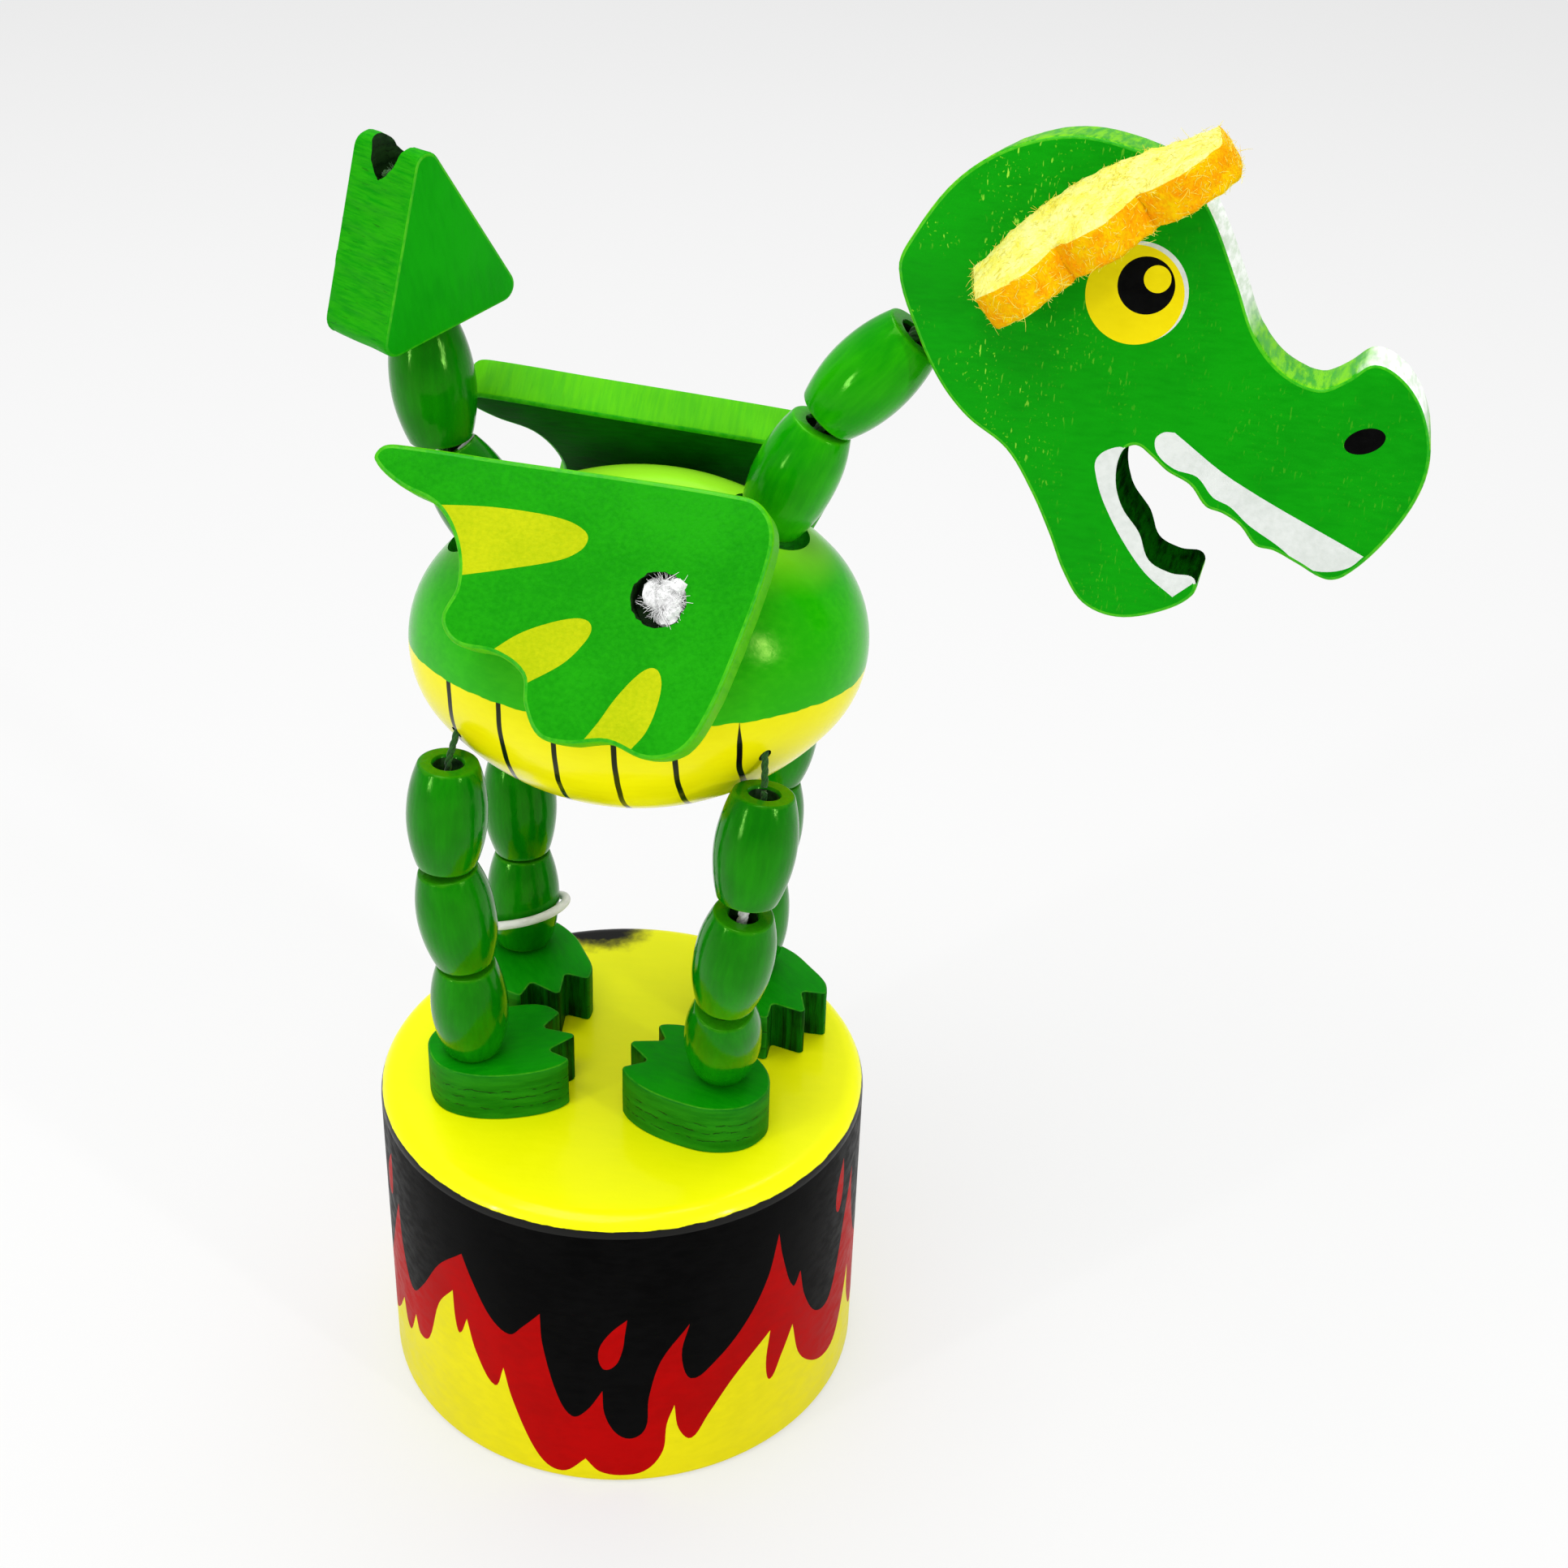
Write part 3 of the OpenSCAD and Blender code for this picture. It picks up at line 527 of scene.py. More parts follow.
# the sawn edge inside the mouth is painted nearly black, with no reflection: painted shade
MOUTH_SHADE = make_edge_paint(
    "mouth_shade", (1.8, 1.8, 0.2), (0.001, 0.012, 0.001), (0.002, 0.075, 0.001), 0.2, spec=0.0, rough=0.8
)
TIP_EDGE = make_edge_paint("tip_edge", (4.0, 4.0, 0.4), (0.003, 0.28, 0.001), (0.018, 0.37, 0.002), 0.06)
# the toes' cuts are painted nearly black: painted shade
TOE_CUT_SHADE = make_edge_paint("toe_cut_shade", (2.2, 2.2, 0.12), (0.001, 0.02, 0.001), (0.003, 0.13, 0.002), 0.12)
BARE_WOOD = make_wood("bare_wood", (0.42, 0.25, 0.11), (0.66, 0.45, 0.24))
# the insides of holes and channels are painted nearly black green: painted shade
HOLE_SHADE = make_wood("hole_shade", (0.006, 0.03, 0.005), (0.016, 0.07, 0.01))
SOCKET_PAINT = make_wood("socket_paint", (0.008, 0.36, 0.002), (0.02, 0.5, 0.004))
# the felt's faces are painted a paler yellow than its orange cut edges: painted light on the faces, which
# take the light
FELT_FACE = make_felt("felt_face", (0.98, 0.90, 0.08), (1.0, 0.99, 0.34))
FELT_EDGE = make_felt("felt_edge", (0.96, 0.33, 0.0), (0.99, 0.63, 0.0), (1.0, 0.62, 0.0))
FELT_HAIR = make_felt("felt_hair", (0.92, 0.78, 0.04), (0.98, 0.93, 0.2))
CORD_YARN = make_yarn("cord_yarn", (0.66, 0.66, 0.64), (0.86, 0.86, 0.84), (3, 3, 1.2), 0.05)
KNOT_YARN = make_yarn("knot_yarn", (0.66, 0.66, 0.66), (0.88, 0.88, 0.88), (3, 3, 3), 0.05)
# cords at the joints and hips and the tail's knot are painted dark green: painted shade where they lie in the
# shade
SHADED_YARN = make_yarn("shaded_yarn", (0.006, 0.05, 0.005), (0.022, 0.11, 0.014), (3, 3, 1.2), 0.05)
ELASTIC = make_yarn(
    "elastic_band", (0.74, 0.74, 0.73), (0.87, 0.87, 0.86), (0.8, 0.8, 2.4), 0.03, rough=0.5, sheen=0.1
)
STEEL = make_steel()


# ---- mesh helpers
def polar(r, t):
    return r * math.cos(t), r * math.sin(t)


def full_turn(n):
    return [2 * math.pi * k / n for k in range(n)]


def pairs(loop):
    """Each item of a closed loop with the next one."""
    return list(zip(loop, [*loop[1:], loop[0]]))


def scatter(rng, spread=1.0, lift=0.0):
    """A random step; spread and lift are for its height."""
    return Vector((rng.gauss(0, 1), rng.gauss(0, 1), rng.gauss(0, spread) + lift))


def outward(bm):
    bmesh.ops.recalc_face_normals(bm, faces=bm.faces)


def mirrored(bm, after=Matrix(), before=Matrix()):
    """Mirrors a form at z = 0 between two moves."""
    bmesh.ops.transform(bm, matrix=after @ Matrix.Scale(-1, 4, UP) @ before, verts=bm.verts)
    bmesh.ops.reverse_faces(bm, faces=bm.faces)


def add_object(name, bm, materials, place=None, sharp=38):
    """A mesh object from a bmesh in millimetres, placed at a frame in millimetres."""
    mesh = bpy.data.meshes.new(name)
    bm.normal_update()
    bm.to_mesh(mesh)
    bm.free()
    mesh.transform(Matrix.Scale(MM, 4))
    for m in materials:
        mesh.materials.append(m)
    made = bpy.data.objects.new(name, mesh)
    scene.collection.objects.link(made)
    if place is not None:
        there = place.copy()
        there.translation = there.translation * MM
        made.matrix_world = there
    smooth(mesh, sharp)
    return made


def smooth(mesh, sharp):
    mesh.shade_smooth()
    mesh.set_sharp_from_angle(angle=math.radians(sharp))


def lathe(bm, profile, segments, closed=False, index=0, frame_to=None):
    """Turns (radius, height) points round z. A point with radius 0 closes the form."""
    rings = []
    for r, z in profile:
        if r < 1e-6:
            rings.append([bm.verts.new((0, 0, z))])
        else:
            rings.append([bm.verts.new((*polar(r, t), z)) for t in full_turn(segments)])
    for low, high in list(zip(rings, rings[1:])) + ([(rings[-1], rings[0])] if closed else []):
        for k in range(segments):
            n = (k + 1) % segments
            corners = [low[k % len(low)], low[n % len(low)], high[n % len(high)], high[k % len(high)]]
            bm.faces.new(list(dict.fromkeys(corners))).material_index = index
    if frame_to is not None:
        bmesh.ops.transform(bm, matrix=frame_to, verts=[v for ring in rings for v in ring])
    return rings


def tube(bm, path, radius, sides):
    """A round tube along points, with radius a number or one per point."""
    radii = radius if hasattr(radius, "__len__") else [radius] * len(path)
    rings, side = [], None
    turns = full_turn(sides)
    for i, p in enumerate(path):
        d = (path[min(i + 1, len(path) - 1)] - path[max(i - 1, 0)]).normalized()
        if side is None:
            side = d.orthogonal().normalized()
        side = (side - d * side.dot(d)).normalized()
        other = d.cross(side)
        rings.append([bm.verts.new(p + radii[i] * (side * math.cos(t) + other * math.sin(t))) for t in turns])
    for low, high in zip(rings, rings[1:]):
        for k in range(sides):
            n = (k + 1) % sides
            bm.faces.new((low[k], low[n], high[n], high[k]))
    bm.faces.new(rings[0][::-1])
    bm.faces.new(rings[-1])


def inside(points, loop):
    """Which of the points lie inside a closed loop."""
    p, l = np.asarray(points, float), np.asarray([tuple(v) for v in loop], float)
    found = np.zeros(len(p), bool)
    for a, b in zip(l, np.roll(l, -1, axis=0)):
        crosses = (a[1] > p[:, 1]) != (b[1] > p[:, 1])
        if crosses.any():
            x = a[0] + (p[:, 1] - a[1]) / (b[1] - a[1] + 1e-30) * (b[0] - a[0])
            found ^= crosses & (p[:, 0] < x)
    return found


def smooth_loop(points, steps, sharp=()):
    """A smooth closed curve through points, with corners kept at the ones named in sharp."""
    p = [Vector(q) for q in points]
    n, out = len(p), []
    for i in range(n):
        a, b = p[i], p[(i + 1) % n]
        reach = (b - a).length
        leave = (b - p[i - 1]).normalized() * reach if i not in sharp else (b - a)
        arrive = (p[(i + 2) % n] - a).normalized() * reach if (i + 1) % n not in sharp else (b - a)
        for t in (j / steps for j in range(steps)):
            at_a, at_b = 2 * t**3 - 3 * t**2 + 1, 3 * t**2 - 2 * t**3
            out.append(a * at_a + leave * (t**3 - 2 * t**2 + t) + b * at_b + arrive * (t**3 - t**2))
    return out


def round_corners(points, radii, steps=8):
    """The polygon with each corner rounded by its own radius; points run counter-clockwise."""
    out = []
    for i, (p, r) in enumerate(zip(points, radii)):
        if not r:
            out.append(p)
            continue
        back, ahead = (points[i - 1] - p).normalized(), (points[(i + 1) % len(points)] - p).normalized()
        half = back.angle(ahead) / 2
        middle = p + (back + ahead).normalized() * r / math.sin(half)
        start = p + back * r / math.tan(half) - middle
        sweep = math.copysign(math.pi - 2 * half, back.y * ahead.x - back.x * ahead.y)
        for k in range(steps + 1):
            c, s = math.cos(sweep * k / steps), math.sin(sweep * k / steps)
            out.append(middle + Vector((start.x * c - start.y * s, start.x * s + start.y * c)))
    return out


def circle(x, y, r, n, ry=None, tilt=0.0):
    """A circle, or an ellipse turned by tilt degrees."""
    c, s = math.cos(math.radians(tilt)), math.sin(math.radians(tilt))
    out = []
    for t in full_turn(n):
        a, b = r * math.cos(t), (ry or r) * math.sin(t)
        out.append(Vector((x + a * c - b * s, y + a * s + b * c)))
    return out


def miters(loop):
    """For each point of an ordered loop, the step that moves both its edges out to the right by 1."""
    out, n = [], len(loop)
    for i in range(n):
        e1 = (loop[i] - loop[i - 1]).normalized()
        e2 = (loop[(i + 1) % n] - loop[i]).normalized()
        n1, n2 = Vector((e1.y, -e1.x)), Vector((e2.y, -e2.x))
        out.append((n1 + n2) / max(0.35, 1 + n1.dot(n2)))
    return out


def fenced(tris, fence):
    """Which triangles lie inside the fence: walks in from the hull and changes side at each fence edge."""
    sides = {}
    for n, t in enumerate(tris):
        for e in map(frozenset, pairs(t)):
            sides.setdefault(e, []).append(n)
    keep, front = {}, []
    for e, owners in sides.items():
        if len(owners) == 1 and owners[0] not in keep:
            keep[owners[0]] = e in fence
            front.append(owners[0])
    while front:
        n = front.pop()
        for e in map(frozenset, pairs(tris[n])):
            for m in sides[e]:
                if m not in keep:
                    keep[m] = keep[n] != (e in fence)
                    front.append(m)
    return [keep[n] for n in range(len(tris))]


def split_sheet(points, edges):
    """The sheet of triangles that keeps the edges, its triangles' middles, and each edge's sources."""
    verts, ends, tris, _, source, _ = delaunay_2d_cdt(points, edges, [], 0, 1e-4)
    middles = [sum((verts[i] for i in t), Vector((0, 0))) / len(t) for t in tris]
    return verts, tris, middles, zip(ends, source)


# Material slots of every plate: its sawn edge and the rounded rim; slot 0 is its face
EDGE, RIM = 1, 2


def plate(outline, prints, low, high, r, rows, rough, back_index=None, seed=0, edge_at=None):
    """A sawn plate between z = low and high, its faces split along the prints, its edges rounded by r.

    prints is a list of (loop, material index). edge_at gives an edge's material index by its place."""
    if sum(a.x * b.y - b.x * a.y for a, b in pairs(outline)) < 0:
        outline = outline[::-1]
    inner = [p - m * r for p, m in zip(outline, miters(outline))]
    points, edges = [], []
    for loop in [inner] + [l for l, _ in prints]:
        n, at = len(loop), len(points)
        points += [Vector(p) for p in loop]
        edges += [(at + k, at + (k + 1) % n) for k in range(n)]
    verts, tris, middles, sources = split_sheet(points, edges)
    # a test of the middles alone would keep slivers outside a straight edge
    fence = {frozenset(e) for e, from_edges in sources if any(k < len(inner) for k in from_edges)}
    keep = fenced(tris, fence)
    index = np.zeros(len(tris), int)
    for loop, number in prints:
        index[inside(middles, loop)] = number
    bm = bmesh.new()
    used = sorted({i for t, k in zip(tris, keep) if k for i in t})
    front = {i: bm.verts.new((verts[i].x, verts[i].y, high)) for i in used}
    back = {i: bm.verts.new((verts[i].x, verts[i].y, low)) for i in used}
    following = {}
    for t, k, number in zip(tris, keep, index):
        if not k:
            continue
        bm.faces.new([front[i] for i in t]).material_index = int(number)
        behind = bm.faces.new([back[i] for i in reversed(t)])
        behind.material_index = int(number) if back_index is None else back_index
        for a, b in pairs(t):
            if (b, a) in following:
                del following[(b, a)]
            else:
                following[(a, b)] = True
    # The wall: rings that round the front rim, go down the sawn edge and round the back rim
    steps, wear_and_sheen = 4, 2
    turns = [k / steps * math.pi / 2 for k in range(1, steps + 1)]
    arc = [(r * math.sin(t), r * (1 - math.cos(t))) for t in turns]
    levels = [(off, high - down) for off, down in arc]
    levels += [(r, high - r + (low + r - (high - r)) * k / rows) for k in range(1, rows)]
    levels += [(off, low + up) for off, up in arc[::-1]]
    step = dict(following.keys())
    while step:
        loop = [next(iter(step))]
        while loop[-1] in step:
            n = step.pop(loop[-1])
            if n == loop[0]:
                break
            loop.append(n)
        if len(loop) < 3:
            continue
        out = miters([verts[i] for i in loop])
        previous = [front[i] for i in loop]
        for number, (off, z) in enumerate(levels):
            ring = []
            for i, m in zip(loop, out):
                saw = 0.0
                if steps <= number <= len(levels) - steps:
                    saw = rough * noise.noise(Vector((verts[i].x * 1.1, verts[i].y * 1.1, z * 0.25 + seed)))
                ring.append(bm.verts.new((verts[i].x + m.x * (off + saw), verts[i].y + m.y * (off + saw), z)))
            on_rim = number < wear_and_sheen or number >= len(levels) - wear_and_sheen
            join_rings(bm, previous, ring, RIM if on_rim else EDGE, edge_at)
            previous = ring
        join_rings(bm, previous, [back[i] for i in loop], RIM, None)
    return bm


def join_rings(bm, a, b, index, edge_at):
    n = len(a)
    for k in range(n):
        j = (k + 1) % n
        face = bm.faces.new((a[k], b[k], b[j], a[j]))
        face.material_index = index if edge_at is None else edge_at((a[k].co + a[j].co) / 2, index)


def rod(p, q, d, material, sides=32):
    """A round tool from p to q."""
    bm = bmesh.new()
    v = q - p
    lathe(bm, [(0, 0), (d / 2, 0), (d / 2, v.length), (0, v.length)], sides)
    return add_object("tool", bm, [material], along(p, v.normalized()))


def cut(piece, tools, sharp=38):
    """Takes the tools' forms out of a piece. A tool's material comes with its face."""
    for tool in tools:
        m = piece.modifiers.new("cut", "BOOLEAN")
        m.object, m.solver, m.operation, m.material_mode = tool, "EXACT", "DIFFERENCE", "TRANSFER"
    bpy.context.view_layer.update()
    mesh = bpy.data.meshes.new_from_object(piece.evaluated_get(bpy.context.evaluated_depsgraph_get()))
    piece.modifiers.clear()
    piece.data = mesh
    for tool in tools:
        bpy.data.objects.remove(tool)
    smooth(mesh, sharp)


def finish_piece(piece, body, node):
    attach(piece, body)
    if node:
        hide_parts(node)


# ---- drum: the wall is one sheet that is split along the flames' two borders
def border(points):
    """A line through (degrees, height, 1 at a sharp tip) points, as (degrees, height)."""
    steps, last = 5, len(points) - 1
    tips = [i for i, point in enumerate(points) if point[2]] + [0, last]
    return smooth_loop([point[:2] for point in points], steps, tips)[: last * steps + 1]


FLAME_TOP = [
    (-90, 15, 0), (-83, 13, 0), (-76, 16.5, 0), (-67, 25, 1), (-66, 20, 0), (-61.5, 15.5, 0),
    (-56, 17.5, 0), (-48, 23, 0), (-40, 26.6, 1), (-37.5, 24, 0), (-32.5, 20, 0), (-27.5, 18.6, 0),
    (-24, 20.2, 0), (-19.6, 22.6, 1), (-19.2, 18.6, 0), (-16, 12, 0), (-12.6, 9.3, 0), (-9, 10.4, 0),
    (-5.4, 13.2, 1), (-5, 10, 0), (-2.4, 7.3, 0), (1.4, 6.5, 0), (4.6, 8, 0), (5.2, 12, 0), (8, 17, 0),
    (14.6, 21.4, 1), (12.8, 17.4, 0), (15, 13.9, 0), (21, 15.4, 0), (29, 19.4, 0), (34.6, 24, 0),
    (37.4, 29, 1), (38.8, 25.6, 0), (42.6, 20.6, 0), (45, 22, 1), (46.8, 18.2, 0), (51.5, 14.4, 0),
    (57.5, 13.8, 0), (61.5, 17, 0), (65, 22.4, 0), (69.5, 28, 1), (70.4, 23.6, 0), (75, 17.6, 0),
    (81, 15.6, 0), (86, 19.6, 1), (87, 17, 0), (90, 15, 0),
]
FLAME_FOOT = [
    (-90, 6.6, 0), (-80, 6, 0), (-73, 8.4, 0), (-68, 11.6, 1), (-66.4, 9, 0), (-64, 8.6, 0),
    (-60.4, 12, 1), (-58.6, 10, 0), (-54, 11, 0), (-49, 17.4, 0), (-43.6, 20.8, 1), (-43.2, 17, 0),
    (-42, 15.4, 0), (-39.4, 18, 1), (-37, 14, 0), (-32, 10.6, 0), (-29.4, 13.6, 1), (-27.6, 10, 0),
    (-23, 4.4, 0), (-19, 1.7, 0), (-14.4, 1.3, 0), (-9.6, 3.4, 1), (-6.4, 1.7, 0), (-0.5, 1.2, 0),
    (5, 1.9, 0), (8.6, 4.4, 0), (9.4, 8, 0), (11.2, 10.6, 1), (12.2, 7.2, 0), (15.4, 5.4, 0),
    (19.5, 8.2, 0), (25, 11.8, 0), (30.5, 14.4, 0), (35.8, 16.4, 1), (34.8, 12, 0), (36.2, 9.4, 0),
    (39.6, 12, 0), (43, 15.2, 1), (45.4, 10.6, 0), (50, 7.8, 0), (56, 6.2, 0), (62, 6.4, 0), (66, 9, 0),
    (70.4, 14, 1), (71.4, 9.6, 0), (76, 6.2, 0), (83, 6.2, 0), (90, 6.6, 0),
]
DROPS = [
    [(0.4, 22.9), (-3, 21.4), (-5.8, 19.3), (-6.2, 17.5), (-4.9, 16.2), (-2.2, 16.9), (-0.7, 18.9),
     (-0.2, 20.8)],
    [(-70.5, 30.4), (-73.4, 28.6), (-75.6, 26), (-74.6, 24.2), (-72, 24.6), (-70.8, 27.4)],
    [(62.6, 31.4), (59.8, 28.2), (59.6, 25.6), (61.4, 24.8), (63, 26.6), (63.2, 29)],
]
# Heading of the flames' middle, the wall's lower and upper end, and the radius of its two rims
CAMERA_SIDE = -77.0
WALL_LOW, WALL_HIGH, TOP_ROUND, FOOT_ROUND = 0.8, 33.4, 2, 0.8
WALL_STEP = 3
PER_DEGREE = math.pi * BASE_R / 180


def shifted(points, degrees):
    return [Vector((p.x + degrees, p.y)) for p in points]


def unrolled(points):
    """Points in degrees and height as lengths on the flat wall."""
    return [Vector((p.x * PER_DEGREE, p.y)) for p in points]


def make_drum():
    # both borders and the drops lie on the front half, and again on the back half
    lines = [shifted(one, 0)[:-1] + shifted(one, 180) for one in (border(FLAME_TOP), border(FLAME_FOOT))]
    drops = [smooth_loop(d, 5, sharp=(0,)) for d in DROPS]
    drops += [shifted(d, 180) for d in drops]
    points, edges = [], []

    def take(loop, closed):
        at = len(points)
        points.extend(unrolled(loop))
        edges.extend((at + k, at + k + 1) for k in range(len(loop) - 1))
        if closed:
            edges.append((at + len(loop) - 1, at))

    for line in lines:
        take(line, False)
    for d in drops:
        take(d, True)
    for u in range(-90, 271, WALL_STEP):
        take([Vector((u, z)) for z in (WALL_LOW, 12, 23, WALL_HIGH)], False)
    verts, tris, middles, _ = split_sheet(points, edges)
    index = np.zeros(len(tris), int)
    for number, line in enumerate(lines, 1):
        below = [Vector((270, -9)), Vector((-90, -9))]
        index[inside(middles, unrolled(line + below))] = number
    for d in drops:
        index[inside(middles, unrolled(d))] = 1
    bm = bmesh.new()
    made = []
    for v in verts:
        a = math.radians(v.x / PER_DEGREE + CAMERA_SIDE)
        made.append(bm.verts.new((*polar(BASE_R, a), v.y)))
    for t, number in zip(tris, index):
        bm.faces.new([made[i] for i in t]).material_index = int(number)
    spin = Matrix.Rotation(math.radians(CAMERA_SIDE), 4, "Z")
    n, r, q = 360 // WALL_STEP, TOP_ROUND, FOOT_ROUND
    turns = [k * math.pi / 20 for k in range(11)]
    rim = [(BASE_R - r + r * math.cos(t), WALL_HIGH + r * math.sin(t)) for t in turns]
    lathe(bm, rim + [(x, BASE_H) for x in (20, 14, 7, 0)], n, index=3, frame_to=spin)
    turns = [k * math.pi / 12 for k in range(7)]
    foot = [(BASE_R - q + q * math.cos(t), q - q * math.sin(t)) for t in turns]
    seat, seat_r, bevel = DECK_Z + SPRING_SEAT, 8.5, 0.35
    bottom = [(BORE_R + bevel, 0)] + [(BORE_R, z) for z in (bevel, 9, 18, DECK_Z)]
    bottom += [(14, DECK_Z), (seat_r, DECK_Z), (seat_r, seat), (4, seat), (0, seat)]
    lathe(bm, foot[::-1], n, index=2, frame_to=spin)
    lathe(bm, [foot[-1]] + bottom, n, index=4, frame_to=spin)
    bmesh.ops.remove_doubles(bm, verts=bm.verts, dist=1e-3)
    outward(bm)
    slots = [PAINT["drum_black"], PAINT["drum_red"], PAINT["drum_yellow"], DRUM_TOP, BARE_WOOD]
    drum = add_object("drum", bm, slots)
    cut(drum, [rod(Vector((*p, DECK_Z - 1)), Vector((*p, BASE_H + 1)), HOLE_D, BARE_WOOD) for p in FOOT_AT])
    finish_piece(drum, "base", "base_drum")


# ---- beads
BEAD_SEGMENTS, BEAD_STEPS = 64, 22


def bead_profile():
    """(radius, height) points of a bead's outside and of its hole."""
    # the ends are a little wider than the solid's, as the photograph shows them
    end_d = BEAD_END + 0.8
    rise = (BEAD_D - end_d) / 2
    arc = ((BEAD_L / 2) ** 2 + rise**2) / (2 * rise)

    def r_at(z):
        return BEAD_D / 2 - arc + math.sqrt(arc**2 - (z - BEAD_L / 2) ** 2)

    turn_in, flat = 0.2, 0.2
    a, b, c = Vector((r_at(turn_in), turn_in)), Vector((end_d / 2, 0)), Vector((end_d / 2 - flat, 0))
    lower = [a * (1 - t) ** 2 + b * 2 * t * (1 - t) + c * t * t for t in (0, 0.2, 0.4, 0.6, 0.8, 1)]
    heights = [turn_in + (BEAD_L - 2 * turn_in) * k / BEAD_STEPS for k in range(1, BEAD_STEPS)]
    hole = HOLE_D / 2
    mouth = [Vector((hole + 0.18, 0.03)), Vector((hole, 0.3))]

    def flipped(points):
        return [Vector((p.x, BEAD_L - p.y)) for p in points]

    outer = lower[::-1] + [Vector((r_at(z), z)) for z in heights] + flipped(lower)
    inner = flipped(mouth) + [Vector((hole, z)) for z in (8.2, 5.4, 2.7)] + mouth[::-1]
    return [tuple(p) for p in outer], [tuple(p) for p in inner]


def make_bead(name, link, seed, lacquer):
    uneven, shrink = 0.035, 0.02
    outer, inner = bead_profile()
    bm = bmesh.new()
    rings = lathe(bm, outer + inner, BEAD_SEGMENTS, closed=True)
    for number, face in enumerate(bm.faces):
        in_hole = len(outer) + 1 <= number // BEAD_SEGMENTS < len(outer) + len(inner) - 2
        face.material_index = 1 if in_hole else 0
    # every bead has its own unevenness and its own turn
    shift = Vector((seed * 7.3, seed * 3.1, 0))
    for ring in rings[: len(outer)]:
        for v in ring:
            away = Vector((v.co.x, v.co.y, 0)).normalized()
            v.co += away * (uneven * noise.noise(v.co * 0.3 + shift) - shrink)
    outward(bm)
    spin = Matrix.Rotation(seed * 2.4, 4, "Z")
    return add_object(name, bm, [lacquer, HOLE_SHADE], along(*link) @ spin)


def make_beads():
    rows = [
        (f"{leg}_{level}", f"bead_{leg}_{level}", LEG_CHAIN[i][k], BEAD_LACQUER)
        for i, leg in enumerate(LEGS)
        for k, level in enumerate(BEADS)
    ]
    for part, links, lacquer in (("neck", NECK, NECK_LACQUER_LIT), ("tail", TAIL, BEAD_LACQUER)):
        for link, level in zip(links, ("lower", "upper")):
            rows.append((f"{part}_{level}", f"{part}_bead_{level}", link, lacquer))
    for number, (body, node, link, lacquer) in enumerate(rows, 1):
        finish_piece(make_bead(f"turned_{body}", link, number, lacquer), body, node)


# ---- feet
# Heel and sides of a foot from one outer toe round to the other; the right feet are sawn a little askew
PLAIN_FOOT = [
    (9.2, 3.8), (7.4, 4.95), (4.5, 5.3), (0.7, 5.3), (-3.05, 3.75), (-4.6, 0), (-3.05, -3.75),
    (0.7, -5.3), (4.5, -5.3), (7.4, -4.95), (9.2, -3.8),
]
HIND_RIGHT_FOOT = [
    (9.4, 4.0), (8.3, 5.4), (6.7, 6.05), (4.1, 6.1), (0.8, 5.65), (-2.6, 4.3), (-4.2, 2.4), (-4.4, -0.3),
    (-3.45, -2.6), (-1.15, -4.3), (2.05, -5.2), (5.7, -5.25), (8.0, -4.65), (9.2, -3.8),
]
FRONT_RIGHT_FOOT = [
    (9.2, 3.95), (7.8, 5.1), (5.2, 6.05), (1.7, 6.35), (-1.65, 5.9), (-4.5, 4.0), (-5.5, 1.1),
    (-4.8, -1.2), (-3.1, -3.05), (0, -4.6), (3.5, -5.15), (6.5, -5.05), (8.25, -4.45), (9.2, -3.8),
]


def foot_outline(body):
    """A round heel and curved sides through the body's points, and three blunt toes with two cuts."""
    steps, last, clear = 6, len(body) - 1, 0.8
    ends = Vector(body[0]), Vector(body[-1])
    sides = smooth_loop(body, steps, sharp=(0, last))[1 : last * steps]
    sides = [p for p in sides if min((p - e).length for e in ends) > clear]
    toes = [ends[1], Vector((7.3, -1.9)), Vector((10.7, 0)), Vector((7.3, 1.9)), ends[0]]
    return round_corners(sides + toes, [0] * len(sides) + [0.45, 0.35, 0.5, 0.35, 0.45], 5)


def make_feet():
    bodies = [HIND_RIGHT_FOOT, PLAIN_FOOT, FRONT_RIGHT_FOOT, PLAIN_FOOT]
    slots = [PAINT["foot_paint"], FOOT_SIDE, PAINT["foot_rim"], HOLE_SHADE, TOE_CUT_SHADE]

    def side(place, index):
        # the cuts between the toes are painted darker: painted shade in the notches
        return 4 if index == EDGE and place.x > 6.9 and abs(place.y) < 3.75 else index

    for i, leg in enumerate(LEGS):
        bm = plate(
            foot_outline(bodies[i]), [], 0, FOOT_T, r=0.2, rows=6, rough=0.05, seed=i * 5, edge_at=side
        )
        at = Vector((*FOOT_AT[i], BASE_H))
        foot = add_object(f"paw_{leg}", bm, slots, Matrix.Translation(at) @ turn(z=FOOT_HEADING[i]))
        cut(foot, [rod(at - UP, at + UP * (FOOT_T + 1), HOLE_D, HOLE_SHADE)])
        finish_piece(foot, "base", f"foot_{leg}")


